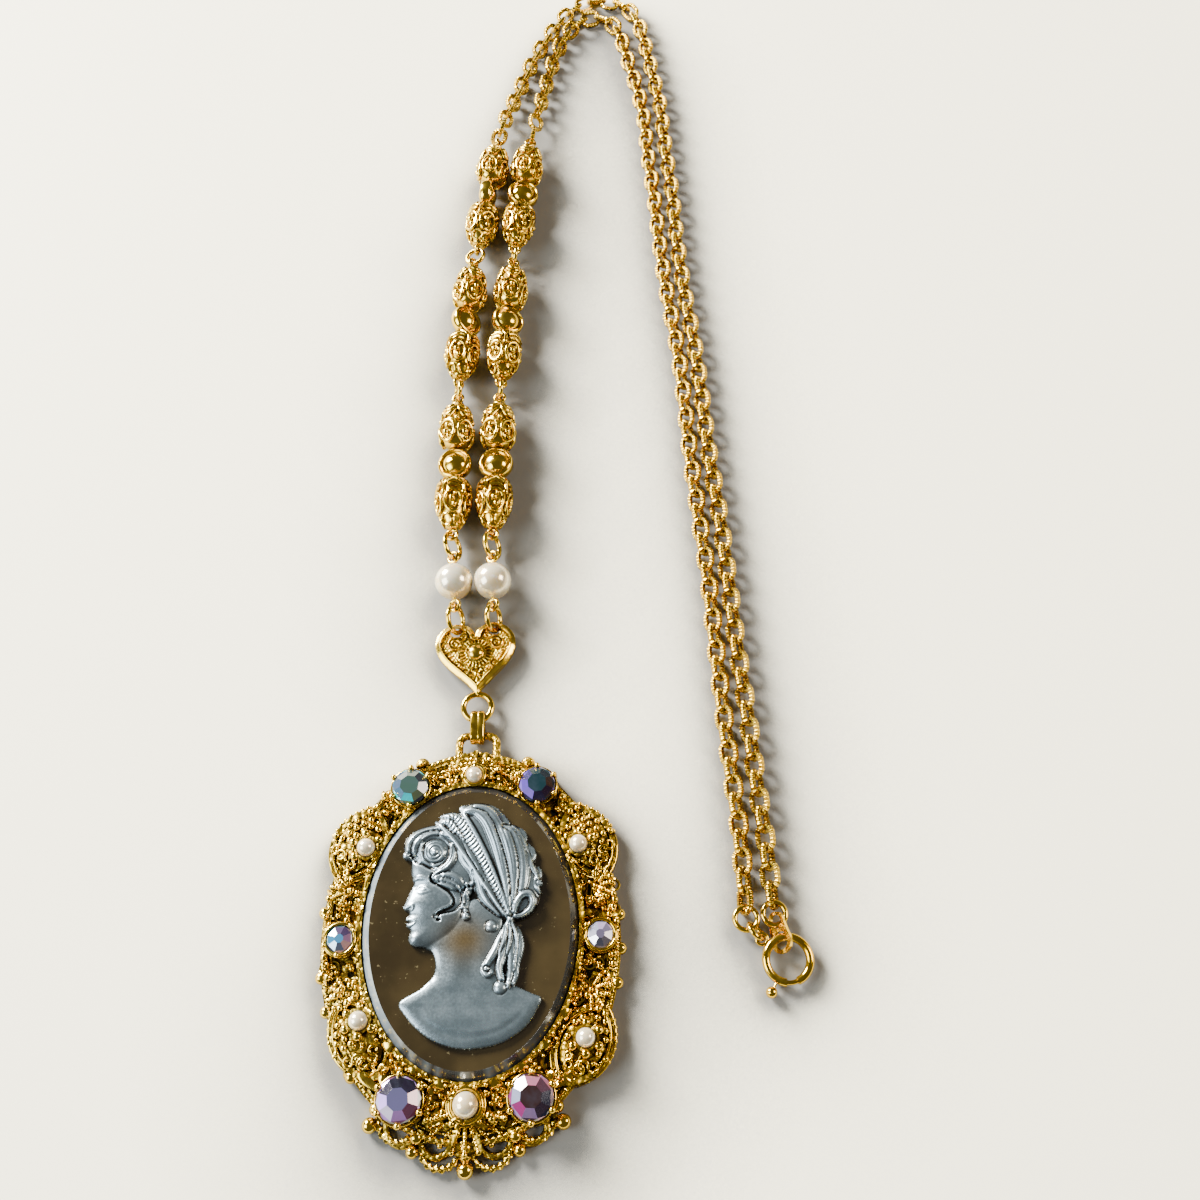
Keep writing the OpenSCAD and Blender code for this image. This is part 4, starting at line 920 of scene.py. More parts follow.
        # Bevelled oval glass, started from a cylinder
        only()
        bpy.ops.mesh.primitive_cylinder_add(
            vertices=96, radius=GLASS_W / 2 * MM, depth=(GROUND_Z - GLASS_FOOT_Z) * MM,
            location=(0, 0, (GROUND_Z + GLASS_FOOT_Z) / 2 * MM))
        obj = bpy.context.object
        obj.scale = (1, GLASS_H / GLASS_W, 1)
        bpy.ops.object.transform_apply(location=True, rotation=True, scale=True)
        bm = bmesh.new()
        bm.from_mesh(obj.data)
        top = [e for e in bm.edges if all(v.co.z > (GROUND_Z - 0.01) * MM for v in e.verts)]
        low = [e for e in bm.edges if all(v.co.z < (GLASS_FOOT_Z + 0.01) * MM for v in e.verts)]
        bmesh.ops.bevel(bm, geom=top, offset=1.1 * MM, segments=1, affect="EDGES")
        bmesh.ops.bevel(bm, geom=low, offset=0.3 * MM, segments=2, profile=0.5, affect="EDGES")
        bm.to_mesh(obj.data)
        bm.free()
        mesh = obj.data
        bpy.data.objects.remove(obj)
        finished(mesh, "cameo_glass", MATERIALS["ground"], ("cameo",), 24)
        self.bevel()

        step = settings().relief_step / MM * 1
        x, y = np.meshgrid(np.arange(-10.2, 10.8, step), np.arange(-16.8, 17.6, step))
        h, cover = self.heights(x, y)
        h = softened(h, 1) * (cover > 0.15) + h * (cover <= 0.15)
        mesh, used = carved_sheet(x, y, h, cover, GROUND_Z, GROUND_Z - 0.1)
        near = int(0.3 / step)
        level = softened(h * (cover > 0), near) / np.maximum(softened((cover > 0) * 1.0, near), 0.05)
        # Painted light: how far each place rises above or sinks below its neighbours, for painted shade in the
        # hollows and painted highlights on the crests
        painted_shade_and_highlight = 0.5 + (h - level) * 3.0
        # A painted warm reflection round the lower cheek and neck
        painted_warm_reflection = bump(x, y, (-0.6, -2.2), 3.4, 1.0, 0.85)
        vertex_values(mesh, "painted_shade_and_highlight", painted_shade_and_highlight[used])
        vertex_values(mesh, "painted_warm_reflection", np.clip(painted_warm_reflection, 0, 1)[used], 0.0)
        finished(mesh, "cameo_relief", MATERIALS["relief"], (), 70)
        return {"FINISHED"}


class CAMEO_OT_stones(bpy.types.Operator):
    """Models the six cut stones, each with a table, star, kite and girdle facets"""

    bl_idname = "cameo.stones"
    bl_label = "Stones"

    # Colours by stone, its own colour with painted reflections in the facets: the table, then the eight facets
    # round it from the right anticlockwise
    FACET_COLOURS_AND_PAINTED_REFLECTIONS = [
        [(0.10, 0.16, 0.14), (0.05, 0.04, 0.09), (0.08, 0.09, 0.10), (0.11, 0.15, 0.13), (0.13, 0.17, 0.17),
         (0.15, 0.20, 0.27), (0.12, 0.22, 0.30), (0.00, 0.70, 0.76), (0.24, 0.28, 0.18)],
        [(0.03, 0.075, 0.085), (0.13, 0.08, 0.05), (0.05, 0.06, 0.07), (0.06, 0.10, 0.11), (0.10, 0.08, 0.20),
         (0.18, 0.12, 0.42), (0.28, 0.20, 0.55), (0.05, 0.03, 0.10), (0.07, 0.03, 0.08)],
        [(0.10, 0.28, 0.42), (0.35, 0.22, 0.33), (0.11, 0.08, 0.15), (0.16, 0.12, 0.20), (0.14, 0.25, 0.28),
         (0.08, 0.27, 0.40), (0.42, 0.55, 0.62), (0.16, 0.18, 0.24), (0.52, 0.36, 0.36)],
        [(0.20, 0.18, 0.24), (0.16, 0.14, 0.18), (0.28, 0.25, 0.33), (0.45, 0.38, 0.52), (0.33, 0.33, 0.40),
         (0.50, 0.50, 0.58), (0.90, 0.92, 0.95), (0.12, 0.12, 0.15), (0.25, 0.23, 0.26)],
        [(0.17, 0.16, 0.26), (0.24, 0.07, 0.14), (0.05, 0.04, 0.07), (0.03, 0.025, 0.04), (0.06, 0.05, 0.08),
         (0.60, 0.45, 0.85), (0.58, 0.54, 0.66), (0.46, 0.30, 0.56), (0.26, 0.12, 0.20)],
        [(0.075, 0.045, 0.045), (0.03, 0.03, 0.09), (0.16, 0.09, 0.12), (0.42, 0.21, 0.28),
         (0.14, 0.09, 0.06), (0.36, 0.38, 0.48), (0.34, 0.08, 0.23), (0.38, 0.28, 0.45), (0.10, 0.06, 0.10)],
    ]
    TABLES = (0.27, 0.27, 0.17, 0.17, 0.25, 0.25)

    def cut(self, d, turn, table_r):
        """Corners and facets of a round stone of diameter d: its girdle lies at height 0."""
        n = 8

        def ring(count, r, z):
            turns = np.radians(turn - 22.5 + 360 * np.arange(count) / count)
            return [(r * d * math.cos(a), r * d * math.sin(a), z * d) for a in turns]

        verts = ring(n, table_r, 0.20) + ring(n, 0.462, 0.065)
        verts += ring(2 * n, 0.5, 0.018) + ring(2 * n, 0.5, -0.018)
        verts.append((0, 0, -0.37 * d))
        # Where the corners of each row start: table, crown, upper and lower girdle, tip
        table, crown, upper, lower, tip = 0, n, 2 * n, 4 * n, 6 * n
        faces, paint = [tuple(range(n))], [0]
        for k in range(n):
            j = (k + 1) % n
            a, b, c = 2 * k, 2 * k + 1, (2 * k + 2) % (2 * n)
            faces += [(table + k, crown + k, crown + j, table + j), (crown + k, upper + a, upper + b),
                      (crown + k, upper + b, crown + j), (crown + j, upper + b, upper + c)]
            paint += [1 + k, 1 + (k + 3) % n, 1 + (k + 1) % n, 1 + (k + 5) % n]
            for g, e in ((a, b), (b, c)):
                faces += [(upper + g, lower + g, lower + e, upper + e), (lower + g, tip, lower + e)]
                paint += [1 + k, 1 + j]
        return verts, faces, paint

    def execute(self, context):
        for k, (turn, share) in enumerate(STONES):
            node = f"stone_{k + 1}"
            lo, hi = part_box(node)
            d = (hi[0] - lo[0]) / MM * 0.985
            at = round_glass(turn, share)
            z = hi[2] / MM - 0.20 * d
            verts, faces, paint = self.cut(d, (-8, 6, 4, -6, 5, -4)[k], self.TABLES[k])
            mesh = bpy.data.meshes.new(node + "_cut")
            mesh.from_pydata([((v[0] + at[0]) * MM, (v[1] + at[1]) * MM, (v[2] + z) * MM) for v in verts],
                             [], faces)
            colours = self.FACET_COLOURS_AND_PAINTED_REFLECTIONS[k]
            # Each facet takes the stone's colour with its painted reflection
            layer = mesh.color_attributes.new("facet", "FLOAT_COLOR", "CORNER")
            for face, tint in zip(mesh.polygons, paint):
                for loop in face.loop_indices:
                    layer.data[loop].color = (*[c**1.55 for c in colours[tint]], 1)
            finished(mesh, node + "_cut", MATERIALS["stone"], (node,), 1)
        return {"FINISHED"}


class CAMEO_OT_pearls(bpy.types.Operator):
    """Models the frame's six pearls and the strands' two"""

    bl_idname = "cameo.pearls"
    bl_label = "Pearls"

    def execute(self, context):
        names = [f"frame_pearl_{k}" for k in range(1, 7)] + ["pearl_left", "pearl_right"]
        for seed, node in enumerate(names):
            lo, hi = [np.array(c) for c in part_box(node)]
            only()
            bpy.ops.mesh.primitive_uv_sphere_add(
                segments=40, ring_count=24, radius=(hi - lo).max() / 2, location=tuple((lo + hi) / 2))
            obj = bpy.context.object
            bpy.ops.object.transform_apply(location=False, rotation=False, scale=True)
            rng = np.random.default_rng(seed + 5)
            kicks = rng.normal(size=(5, 3))
            kicks /= np.linalg.norm(kicks, axis=1)[:, None]
            for v in obj.data.vertices:
                n = v.co.normalized()
                v.co *= 1 - 0.012 * sum(max(0, n.dot(Vector(k))) ** 6 for k in kicks)
            bpy.ops.object.transform_apply(location=True, rotation=True, scale=True)
            mesh = obj.data
            bpy.data.objects.remove(obj)
            finished(mesh, node + "_skin", MATERIALS["pearl"], (node,), 60)
        return {"FINISHED"}


class CAMEO_OT_frame(bpy.types.Operator):
    """Covers the soldered frame with its wires, ropes, scrolls, leaves and granules"""

    bl_idname = "cameo.frame"
    bl_label = "Frame's filigree"

    DOME_L, DOME_W = 12.2, 8.2

    def execute(self, context):
        self.base = Surface()
        self.granule, self.ball, self.domes = granule_shape(), ball_shape(), []
        self.wires, self.ropes, self.bright, self.grains = Heap(), Heap(), Heap(), Heap()
        for k in range(4):
            self.dome(k)
        self.rim()
        self.gallery()
        self.settings_round_stones()
        self.fans()
        self.loops()
        self.strewn()
        self.wires.piece("filigree_wires", MATERIALS["wire"], "antique_gilt")
        self.ropes.piece("filigree_ropes", MATERIALS["wire"], "antique_gilt")
        self.bright.piece("filigree_polished", MATERIALS["polished"], "antique_gilt")
        self.grains.piece("filigree_granules", MATERIALS["wire"], "antique_gilt")
        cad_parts["frame"].data.materials.clear()
        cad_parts["frame"].data.materials.append(MATERIALS["base"])
        return {"FINISHED"}

    def wire(self, path, r, lift, closed=False, heap=None, step=0.28, sides=6):
        """A wire laid on the frame."""
        at = self.base.laid(spaced(np.asarray(path), step, closed), lift)
        (heap or self.wires).add(*tube(at, r, sides, closed))

    def laid_rope(self, path, r, lift, closed=False):
        """A rope laid on the frame."""
        at = self.base.laid(spaced(np.asarray(path), 0.28, closed), lift)
        self.ropes.add(*rope(at, r, 0.66, 8, 0.5, closed))

    def ring(self, at, r, z, wire):
        """A polished ring that stands level round a place."""
        self.bright.add(*tube(at_height(arc_path(at, r, 0, 350, 8), z), wire, 8, True))

    def grain(self, x, y, r, lift, big=False):
        """A granule, or a big polished ball, on the frame."""
        heap, shape = (self.bright, self.ball) if big else (self.grains, self.granule)
        heap.placed(shape, (x, y, self.base.z(x, y) + r * lift), r)

    def half_width(self, u):
        """Half the width of a dome at a place along it."""
        return 4.0 * (1 - (u / 6.3) ** 2)

    def dome(self, k):
        """One almond-shaped dome: smooth rims, honeycomb of granules, curled wires, balls."""
        turn, share = DOMES[k]
        at = round_glass(turn, share)
        out = outward(turn)
        hand = 1 if math.cos(out) > 0 else -1
        v_axis = unit(out)
        u_axis = np.array([v_axis[1], -v_axis[0]]) * hand

        def place(u, v):
            return at + u * u_axis + v * v_axis

        def leaf(l, w, start, end, side):
            """Part of one long side of a pointed oval."""
            r = (l * l + w * w) / (4 * w)
            reach = math.asin(l / 2 / r)
            a = np.linspace(start * reach, end * reach, 24)
            return [place(r * math.sin(t), side * (r * math.cos(t) + w / 2 - r)) for t in a]

        upper = k < 2
        self.domes.append((at, u_axis, v_axis))
        # Smooth double rims round the lower end, thinner arcs at the lower domes' tops
        for inset, r in ((0.15, 0.2 if upper else 0.28), (0.8, 0.16 if upper else 0.22)):
            for side, start in ((1, 0.1), (-1, 0.2)):
                ends = (start, 0.98) if upper else (-0.98, 0.35 if side > 0 else 0.9)
                edge = leaf(self.DOME_L - 2 * inset, self.DOME_W - 2 * inset, *ends, side)
                self.wire(edge, r, 0.16, heap=self.bright, sides=8)
        for t in np.linspace(-0.94, 0.02, 9):
            x, y = leaf(12.0, 8.0, t, t + 0.001, 1)[0]
            self.grain(x, y, 0.34, 0.5)
        pearl = round_glass(*PEARLS[1 + k])
        pu, pv = (pearl - at) @ u_axis, (pearl - at) @ v_axis
        # Balls round the pearl
        for j in range(6):
            a = math.radians(60 * j + 30)
            u, v = pu + 2.0 * math.cos(a), pv + 2.0 * math.sin(a)
            if math.sin(a) > -0.8:
                self.grain(*place(u, v), 0.66, 0.6, big=True)
        rng = random.Random(11 + k)
        # Honeycomb of granules over the upper half
        for i in range(-6, 2):
            for j in range(-3, 4):
                u, v = 1.0 * i + 0.1, 1.16 * (j + 0.5 * (i % 2))
                far = math.hypot(u - pu, v - pv)
                if -5.9 < u < 0.4 and abs(v) < self.half_width(u) - 0.5 and far > 2.3:
                    off = rng.uniform(-0.06, 0.06), rng.uniform(-0.06, 0.06)
                    self.grain(*place(u + off[0], v + off[1]), rng.uniform(0.44, 0.54), 0.5)
        # Curled wires over the lower half
        for u, v, a0, r in ((2.1, 2.0, 20, 0.62), (3.6, 0.9, 70, 0.6), (2.7, -0.7, 120, 0.5),
                            (4.6, -0.6, 40, 0.42)):
            s_curl = np.concatenate([arc_path((0, r), r, 190, -90, 20), arc_path((0, -r), r, 70, 370, 20)])
            c, s = math.cos(math.radians(a0)), math.sin(math.radians(a0))
            if abs(v) < self.half_width(u) - 0.2:
                turned = [place(u + p[0] * c - p[1] * s, v + p[0] * s + p[1] * c) for p in s_curl]
                self.wire(turned, 0.22, 0.32, heap=self.bright, step=0.15, sides=8)
        for _ in range(14):
            u, v = rng.uniform(0.2, 5.2), rng.uniform(-3.2, 3.2)
            if abs(v) < self.half_width(u) - 0.7 and math.hypot(u - pu, v - pv) > 1.8:
                self.grain(*place(u, v), rng.uniform(0.26, 0.38), 0.4)

    def rim(self):
        """Ropes, a smooth wire and balls round the outer rim."""
        outer, inner, low = [np.array([round_rim(t, inset) for t in range(0, 360, 4)])
                             for inset in (0.45, 1.35, 0.12)]
        self.ropes.add(*rope(at_height(outer, 1.75), 0.42, 0.85, closed=True))
        self.laid_rope(inner, 0.2, 0.1, closed=True)
        self.bright.add(*tube(at_height(low, 0.75), 0.2, 8, True))
        for turn in (43, 6, -4, -14, -34, -55, -72, -90, -108, -125, -138, -149, -159, -169, 172, 137):
            self.bright.placed(self.ball, (*round_rim(turn), 1.35), 0.89)

    def gallery(self):
        """Wavy edge that holds the glass, with leaf prongs small and large."""
        rng = random.Random(3)
        turns = np.arange(0, 360, 2.0)
        wave = np.array([rng.uniform(-0.09, 0.09) for _ in turns])
        r = 0.5 + 1.4 * wave + 0.08 * np.cos(np.radians(turns * 26))
        path = np.array([[(GLASS_W / 2 + a) * math.cos(t), (GLASS_H / 2 + a) * math.sin(t),
                          3.1 + 0.1 * math.cos(31 * t)]
                         for a, t in zip(r, np.radians(turns))])
        self.bright.add(*tube(path, 0.13 + 0.04 * np.cos(np.radians(turns * 18)), 7, True))
        base = path.copy()
        base[:, 2] = 2.45
        self.bright.add(*tube(base, 0.12, 6, True))
        # Leaf prongs that fold over the glass's edge
        small = (12, 27, 41, 57, 73, 108, 124, 139, 155, 172, 190, 205, 221, 236, 250, 263, 277, 291, 305,
                 319, 333, 347)
        large = (213, 228, 243, 257, 284, 298, 312, 326)
        outline = [(-0.5, 0.0, 3.0), (-0.32, 0.45, 3.45), (0.0, 0.8, 3.62), (0.32, 0.45, 3.45),
                   (0.5, 0.0, 3.0)]
        ridge, thick, faces = (0, 0.25, 3.55), 0.22, []
        for i in range(5):
            k = (i + 1) % 5
            faces += [(i, k, 5), (i + 6, 11, k + 6), (i, i + 6, k + 6, k)]
        for turn, big in [(t, 1.0) for t in small] + [(t, 2.0) for t in large]:
            c, s = unit(math.radians(turn))
            inwards = -unit(outward(turn))
            across = np.array([inwards[1], -inwards[0]])
            at = np.array([(GLASS_W / 2 + 0.75 * big) * c, (GLASS_H / 2 + 0.75 * big) * s])
            size = rng.uniform(0.75, 1.0) * big
            verts = [[*(at + size * (u * across + v * inwards)), z] for u, v, z in [*outline, ridge]]
            verts += [[x, y, z - thick] for x, y, z in verts]
            self.bright.add(verts, faces)
            for side in (-1, 1):
                x, y = at + size * 0.9 * side * across
                self.grains.placed(self.granule, (x, y, 3.3), rng.uniform(0.22, 0.34))

    def settings_round_stones(self):
        """A ring and six prongs round each stone; the middle two have rings only."""
        for k, (turn, share) in enumerate(STONES):
            lo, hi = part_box(f"stone_{k + 1}")
            d = (hi[0] - lo[0]) / MM
            girdle = hi[2] / MM - 0.22 * d
            at = round_glass(turn, share)
            if k in (2, 3):
                self.ring(at, d / 2 + 0.2, girdle + 0.3, 0.22)
                self.ring(at, d / 2 + 0.42, girdle - 0.5, 0.16)
                continue
            self.ring(at, d / 2 + 0.12, girdle - 0.35, 0.16)
            for j in range(6):
                c = unit(math.radians(60 * (j + 0.5)))
                rows = ((0.32, 1.6), (0.26, girdle), (-0.05, girdle + 0.42))
                prong = [[*(at + (d / 2 + out) * c), z] for out, z in rows]
                self.bright.add(*tube(smooth_path(prong, 4), 0.3, 8))
                self.bright.placed(self.ball, (*(at + (d / 2 + 0.16) * c), girdle + 0.35),
                                   0.46 if k > 3 else 0.4)

    def fans(self):
        """Fans of coiled wire, the crest at the top and the pearls' cups."""
        # Coils fanned out beside the middle stones
        for turn, share in ((14, 0.5), (-22, 0.5), (166, 0.5), (202, 0.5)):
            at = round_glass(turn, share)
            out = outward(turn)
            for j in range(5):
                c = unit(out + math.radians(36 * (j - 2)))
                self.coil(np.array([at + r * c for r in np.linspace(0.5, 2.6, 9)]), 0.34)
            self.wire(spiral_path(at, 0.7, 0.2, math.degrees(out), 1.6), 0.15, 0.2, step=0.15)
            self.grain(*at, 0.42, 0.6, big=True)
        # Ribbed fan under the bottom pearl
        at = round_glass(-90, 0.62)
        for j in range(9):
            c = unit(math.radians(180 + 20 * (j + 0.5)))
            self.coil(np.array([at + r * c for r in np.linspace(1.9, 5.0, 13)]), 0.3)
            self.grain(*(at + 5.2 * c), 0.42, 0.4, big=True)
        pearl = round_glass(-90, 0.5)
        self.ring(pearl, 2.12, 3.0, 0.3)
        self.ring(pearl, 2.5, 2.6, 0.22)
        # Crest between the upper stones
        top = np.array([0.0, 21.8])
        for inset, reach in ((1.15, 27), (1.85, 24), (2.55, 20)):
            arc = [round_rim(t, inset) for t in np.arange(90 - reach, 90 + reach + 1, 2)]
            self.laid_rope(arc, 0.36, 0.2)
        for side in (-1, 1):
            for u, v in ((3.5, 0.8), (6.0, 0.2)):
                centre = top + (side * u, v)
                self.wire(arc_path(centre, 1.15, 0, 350, 15), 0.17, 0.16, closed=True, step=0.2,
                          heap=self.bright)
                self.grain(*centre, 0.46, 0.8, big=True)
                for a in np.radians(np.arange(0, 360, 51.5)):
                    self.grain(*(centre + 0.78 * unit(a)), 0.27, 0.7)
        lo, hi = [np.array(c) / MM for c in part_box("frame_pearl_1")]
        cup = arc_path((lo[:2] + hi[:2]) / 2, (hi[0] - lo[0]) / 2 + 0.3, 0, 350, 10)
        self.bright.add(*tube(at_height(cup, (lo[2] + hi[2]) / 2), 0.28, 8, True))

    def coil(self, pts, r):
        """A coiled wire seen as a row of rings, laid along points."""
        at = self.base.laid(spaced(pts, 0.1), 0.1, 2)
        run = np.arange(len(at)) * 0.1
        self.wires.add(*tube(at, r * (0.86 + 0.2 * np.cos(2 * math.pi * run / 0.42)), 8))

    def loops(self):
        """Rope loops below the frame and over it, with balls and flat leaves."""
        low = -RIM_H / 2 - RIM_DROP
        for side in (-1, 1):
            for x, up, r in LOOPS:
                c = (side * x, up + low)
                self.ropes.add(*rope(at_height(arc_path(c, r, 0, 355, 5), 0.68), 0.52, 0.95, 10, 0.5, True))
                self.ropes.add(*rope(at_height(arc_path(c, r - 0.5, 15, 165, 8), 1.1), 0.26, 0.62))
            for x, up, r in ((15.7, 9.2, 0.95), (12.7, 2.9, 1.05), (7.0, -0.4, 0.85), (7.6, 1.2, 0.5)):
                self.bright.placed(self.ball, (side * x, up + low, 0.95), r)
        self.bright.placed(self.ball, (0, low - 2.7, 1.12), 1.12)
        self.bright.placed(self.ball, (0, low - 1.1, 1.1), 0.75)
        # Flat polished leaves between the lower domes and stones: place, length, width, turn
        leaves = ((10.6, -20.2, 4.2, 1.3, 58), (13.2, -19.6, 4.6, 1.2, 40), (4.6, -20.9, 3.0, 1.1, 118))
        for side in (-1, 1):
            for x, y, l, w, turn in leaves:
                self.flat_leaf(side * x, y, l, w, math.radians(turn if side > 0 else 180 - turn))
        # Rope loop over the top
        left = 0.25 - TOP_LOOP_X
        pts = [(left + u, TOP_LOOP_Y - down) for u, down in ((0, 4.4), (0, 1.3), (0.4, 0.38), (1.3, 0))]
        pts += [(0.5 - p[0], p[1]) for p in reversed(pts)]
        self.ropes.add(*rope(at_height(spaced(np.array(pts), 0.4), LINK_Z), 0.62, 0.7, 10, 0.55))

    def flat_leaf(self, x, y, length, width, turn):
        """A pointed leaf with a ridge along its middle."""
        along = unit(turn)
        across = np.array([-along[1], along[0]])
        t = np.linspace(0, 1, 13)
        n, z, thick = len(t), max(self.base.z(x, y), 2.2), 0.3
        verts = []
        for side, up in ((1, 0.0), (0, 0.22), (-1, 0.0)):
            for u, half in zip((t - 0.5) * length, width / 2 * np.sin(math.pi * t) ** 0.8):
                verts.append([*(np.array([x, y]) + u * along + side * half * across), z + up])
        m = len(verts)
        verts += [[vx, vy, vz - thick] for vx, vy, vz in verts]
        faces = [(k + i, k + i + 1, k + n + i + 1, k + n + i) for k in (0, n) for i in range(n - 1)]
        faces += [tuple(m + q for q in f[::-1]) for f in faces]
        faces += [(k + i, m + k + i, m + k + i + 1, k + i + 1) for k in (0, 2 * n) for i in range(n - 1)]
        self.bright.add(verts, faces)

    def strewn(self):
        """Loose granules, small rings and curls over the open ground."""
        rng = random.Random(29)
        size = settings().granule_size / MM
        stones = [(round_glass(*s), 3.1 if k > 3 else 2.8 if k < 2 else 2.2) for k, s in enumerate(STONES)]
        pearls = [(round_glass(*p), 1.5 if k < 5 else 2.6) for k, p in enumerate(PEARLS)]
        loops = [(np.array([s * x, up - RIM_H / 2 - RIM_DROP]), r)
                 for s in (-1, 1) for (x, up, _), r in zip(LOOPS, (2.4, 2.2))]
        placed = 0
        while placed < settings().granules:
            turn, share = rng.uniform(0, 360), rng.uniform(0.16, 0.95)
            q = round_glass(turn, share)
            if any(np.hypot(*(q - c)) < r for c, r in stones + pearls + loops):
                continue
            if any(abs((q - c) @ v) < self.half_width((q - c) @ u) for c, u, v in self.domes):
                continue
            if abs(turn - 90) < 27 and share > 0.35 or self.base.z(*q, other=-1) < 0:
                continue
            placed += 1
            kind = rng.random()
            if kind < 0.14:
                circle = arc_path(q, rng.uniform(0.65, 0.85), 0, 345, 24)
                self.wire(circle, 0.2, 0.2, closed=True, step=0.2, heap=self.bright)
                self.grain(*q, size * 0.8, 0.8)
            elif kind < 0.26:
                curl = spiral_path(q, 1.0, 0.25, rng.uniform(0, 360), rng.choice((-1.3, 1.3)))
                self.wire(curl, 0.2, 0.2, step=0.16, heap=self.bright)
            else:
                self.grain(*q, size * rng.uniform(0.7, 1.35), 0.5)


class CAMEO_OT_heart(bpy.types.Operator):
    """Models the heart as a carved plate with a polished rim, a rayed boss and a flower"""

    bl_idname = "cameo.heart"
    bl_label = "Heart"

    def execute(self, context):
        lo, hi = [np.array(c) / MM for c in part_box("heart")]
        size = 12.4
        boss_y, flower_y = 0.57 * size, 0.28 * size
        a = np.radians(7.5 * np.arange(48))
        up = 13 * np.cos(a) - 4.2 * np.cos(2 * a) - 1.6 * np.cos(3 * a) - 0.7 * np.cos(4 * a)
        line = np.stack([size / 2 * np.sin(a) ** 3, size * (0.575 + up / 27.6)], 1)
        line = smooth_path(line, 3, True)
        step = 0.075 * 1
        x, y = np.meshgrid(np.arange(-6.5, 6.6, step), np.arange(-0.4, 12.7, step))
        depth = outline_depth(line, x, y)
        holes = np.minimum(*[np.hypot(x - s * 0.235 * size, y - 0.88 * size) - 0.95 for s in (-1, 1)])
        cover = np.minimum(depth, holes)
        rim = 0.16 + 0.46 * np.clip(depth / 0.72, 0, 1) + 0.1 * np.exp(-(((depth - 0.76) / 0.1) ** 2))
        r, t = np.hypot(x, y - boss_y), np.arctan2(y - boss_y, x)
        # Small granules fill the ground
        row = np.round(y / 0.43)
        col = np.round((x - 0.25 * (row % 2)) / 0.5)
        gap = np.hypot(x - 0.25 * (row % 2) - col * 0.5, y - row * 0.43)
        field = 0.04 + 0.12 * hump(gap / 0.24)
        # Beads along the inner edge, down to the tip
        for s in (-1, 1):
            half = line[(line[:, 0] * s > -0.01)]
            half = half[np.argsort(half[:, 1])]
            run = along_stroke(half[half[:, 1] < 8.0], [8.0], x, y)[0]
            off = np.hypot((run / 0.62) % 1 * 0.62 - 0.31, depth - 1.35)
            row = (np.abs(depth - 1.35) < 0.32) & (x * s > -0.1) & (y < 7.6)
            field = np.where(row, 0.1 + 0.42 * hump(off / 0.3), field)
        # Curls: place, radius
        curls = ((3.2, 8.75, 1.2), (1.75, 10.0, 0.7), (4.25, 6.9, 0.6), (2.9, 5.3, 0.75), (1.75, 3.9, 0.6))
        for s in (-1, 1):
            for cx, cy, reach in curls:
                away = np.hypot(x - s * cx, y - cy)
                share = np.arctan2(y - cy, (x - s * cx) * s) / (2 * math.pi)
                field = np.where(away < reach, 0.08 + 0.44 * ripple(away / 0.52 - share), field)
        field = np.where((r > 1.2) & (r < 2.45), 0.26 + 0.24 * np.cos(24 * t), field)
        field = np.where(np.abs(r - 2.55) < 0.1, 0.1, field)
        field = np.where(np.abs(r - 1.4) < 0.17, 0.5, field)
        field = np.where(r < 1.2, 0.45 + 0.8 * hump(r / 1.22), field)
        r, t = np.hypot(x, y - flower_y), np.arctan2(y - flower_y, x)
        field = np.where(r < 1.25, 0.24 + 0.2 * np.cos(8 * t), field)
        field = np.where(np.abs(r - 1.25) < 0.14, 0.42, field)
        field = np.where(r < 0.42, 0.3 + 0.4 * hump(r / 0.45), field)
        top = np.where(depth > 0.92, field, rim)
        top = np.where(np.abs(depth - 0.96) < 0.08, 0.02, top)
        base = lo[2] + 0.9
        top = np.minimum(top, hi[2] - base)
        (c, s), tip = unit(math.radians(3)), 1.75

        def place(p):
            """Puts the heart's tip over its ring and turns it a little."""
            q = p + [0, tip]
            return np.stack([q[:, 0] * c - q[:, 1] * s, HEART_RING_Y + q[:, 0] * s + q[:, 1] * c], 1)

        mesh, used = carved_sheet(x, y, top, cover, base, lo[2], place)
        finished(mesh, "heart_plate", MATERIALS["wire"], ("heart",), 60)
        heap = Heap()
        heap.add(*tube(at_height(arc_path((0, HEART_RING_Y), 2.125, 0, 352, 8), LINK_Z), 0.46, 12, True))
        heap.piece("heart_ring", MATERIALS["polished"], "antique_gilt")
        return {"FINISHED"}


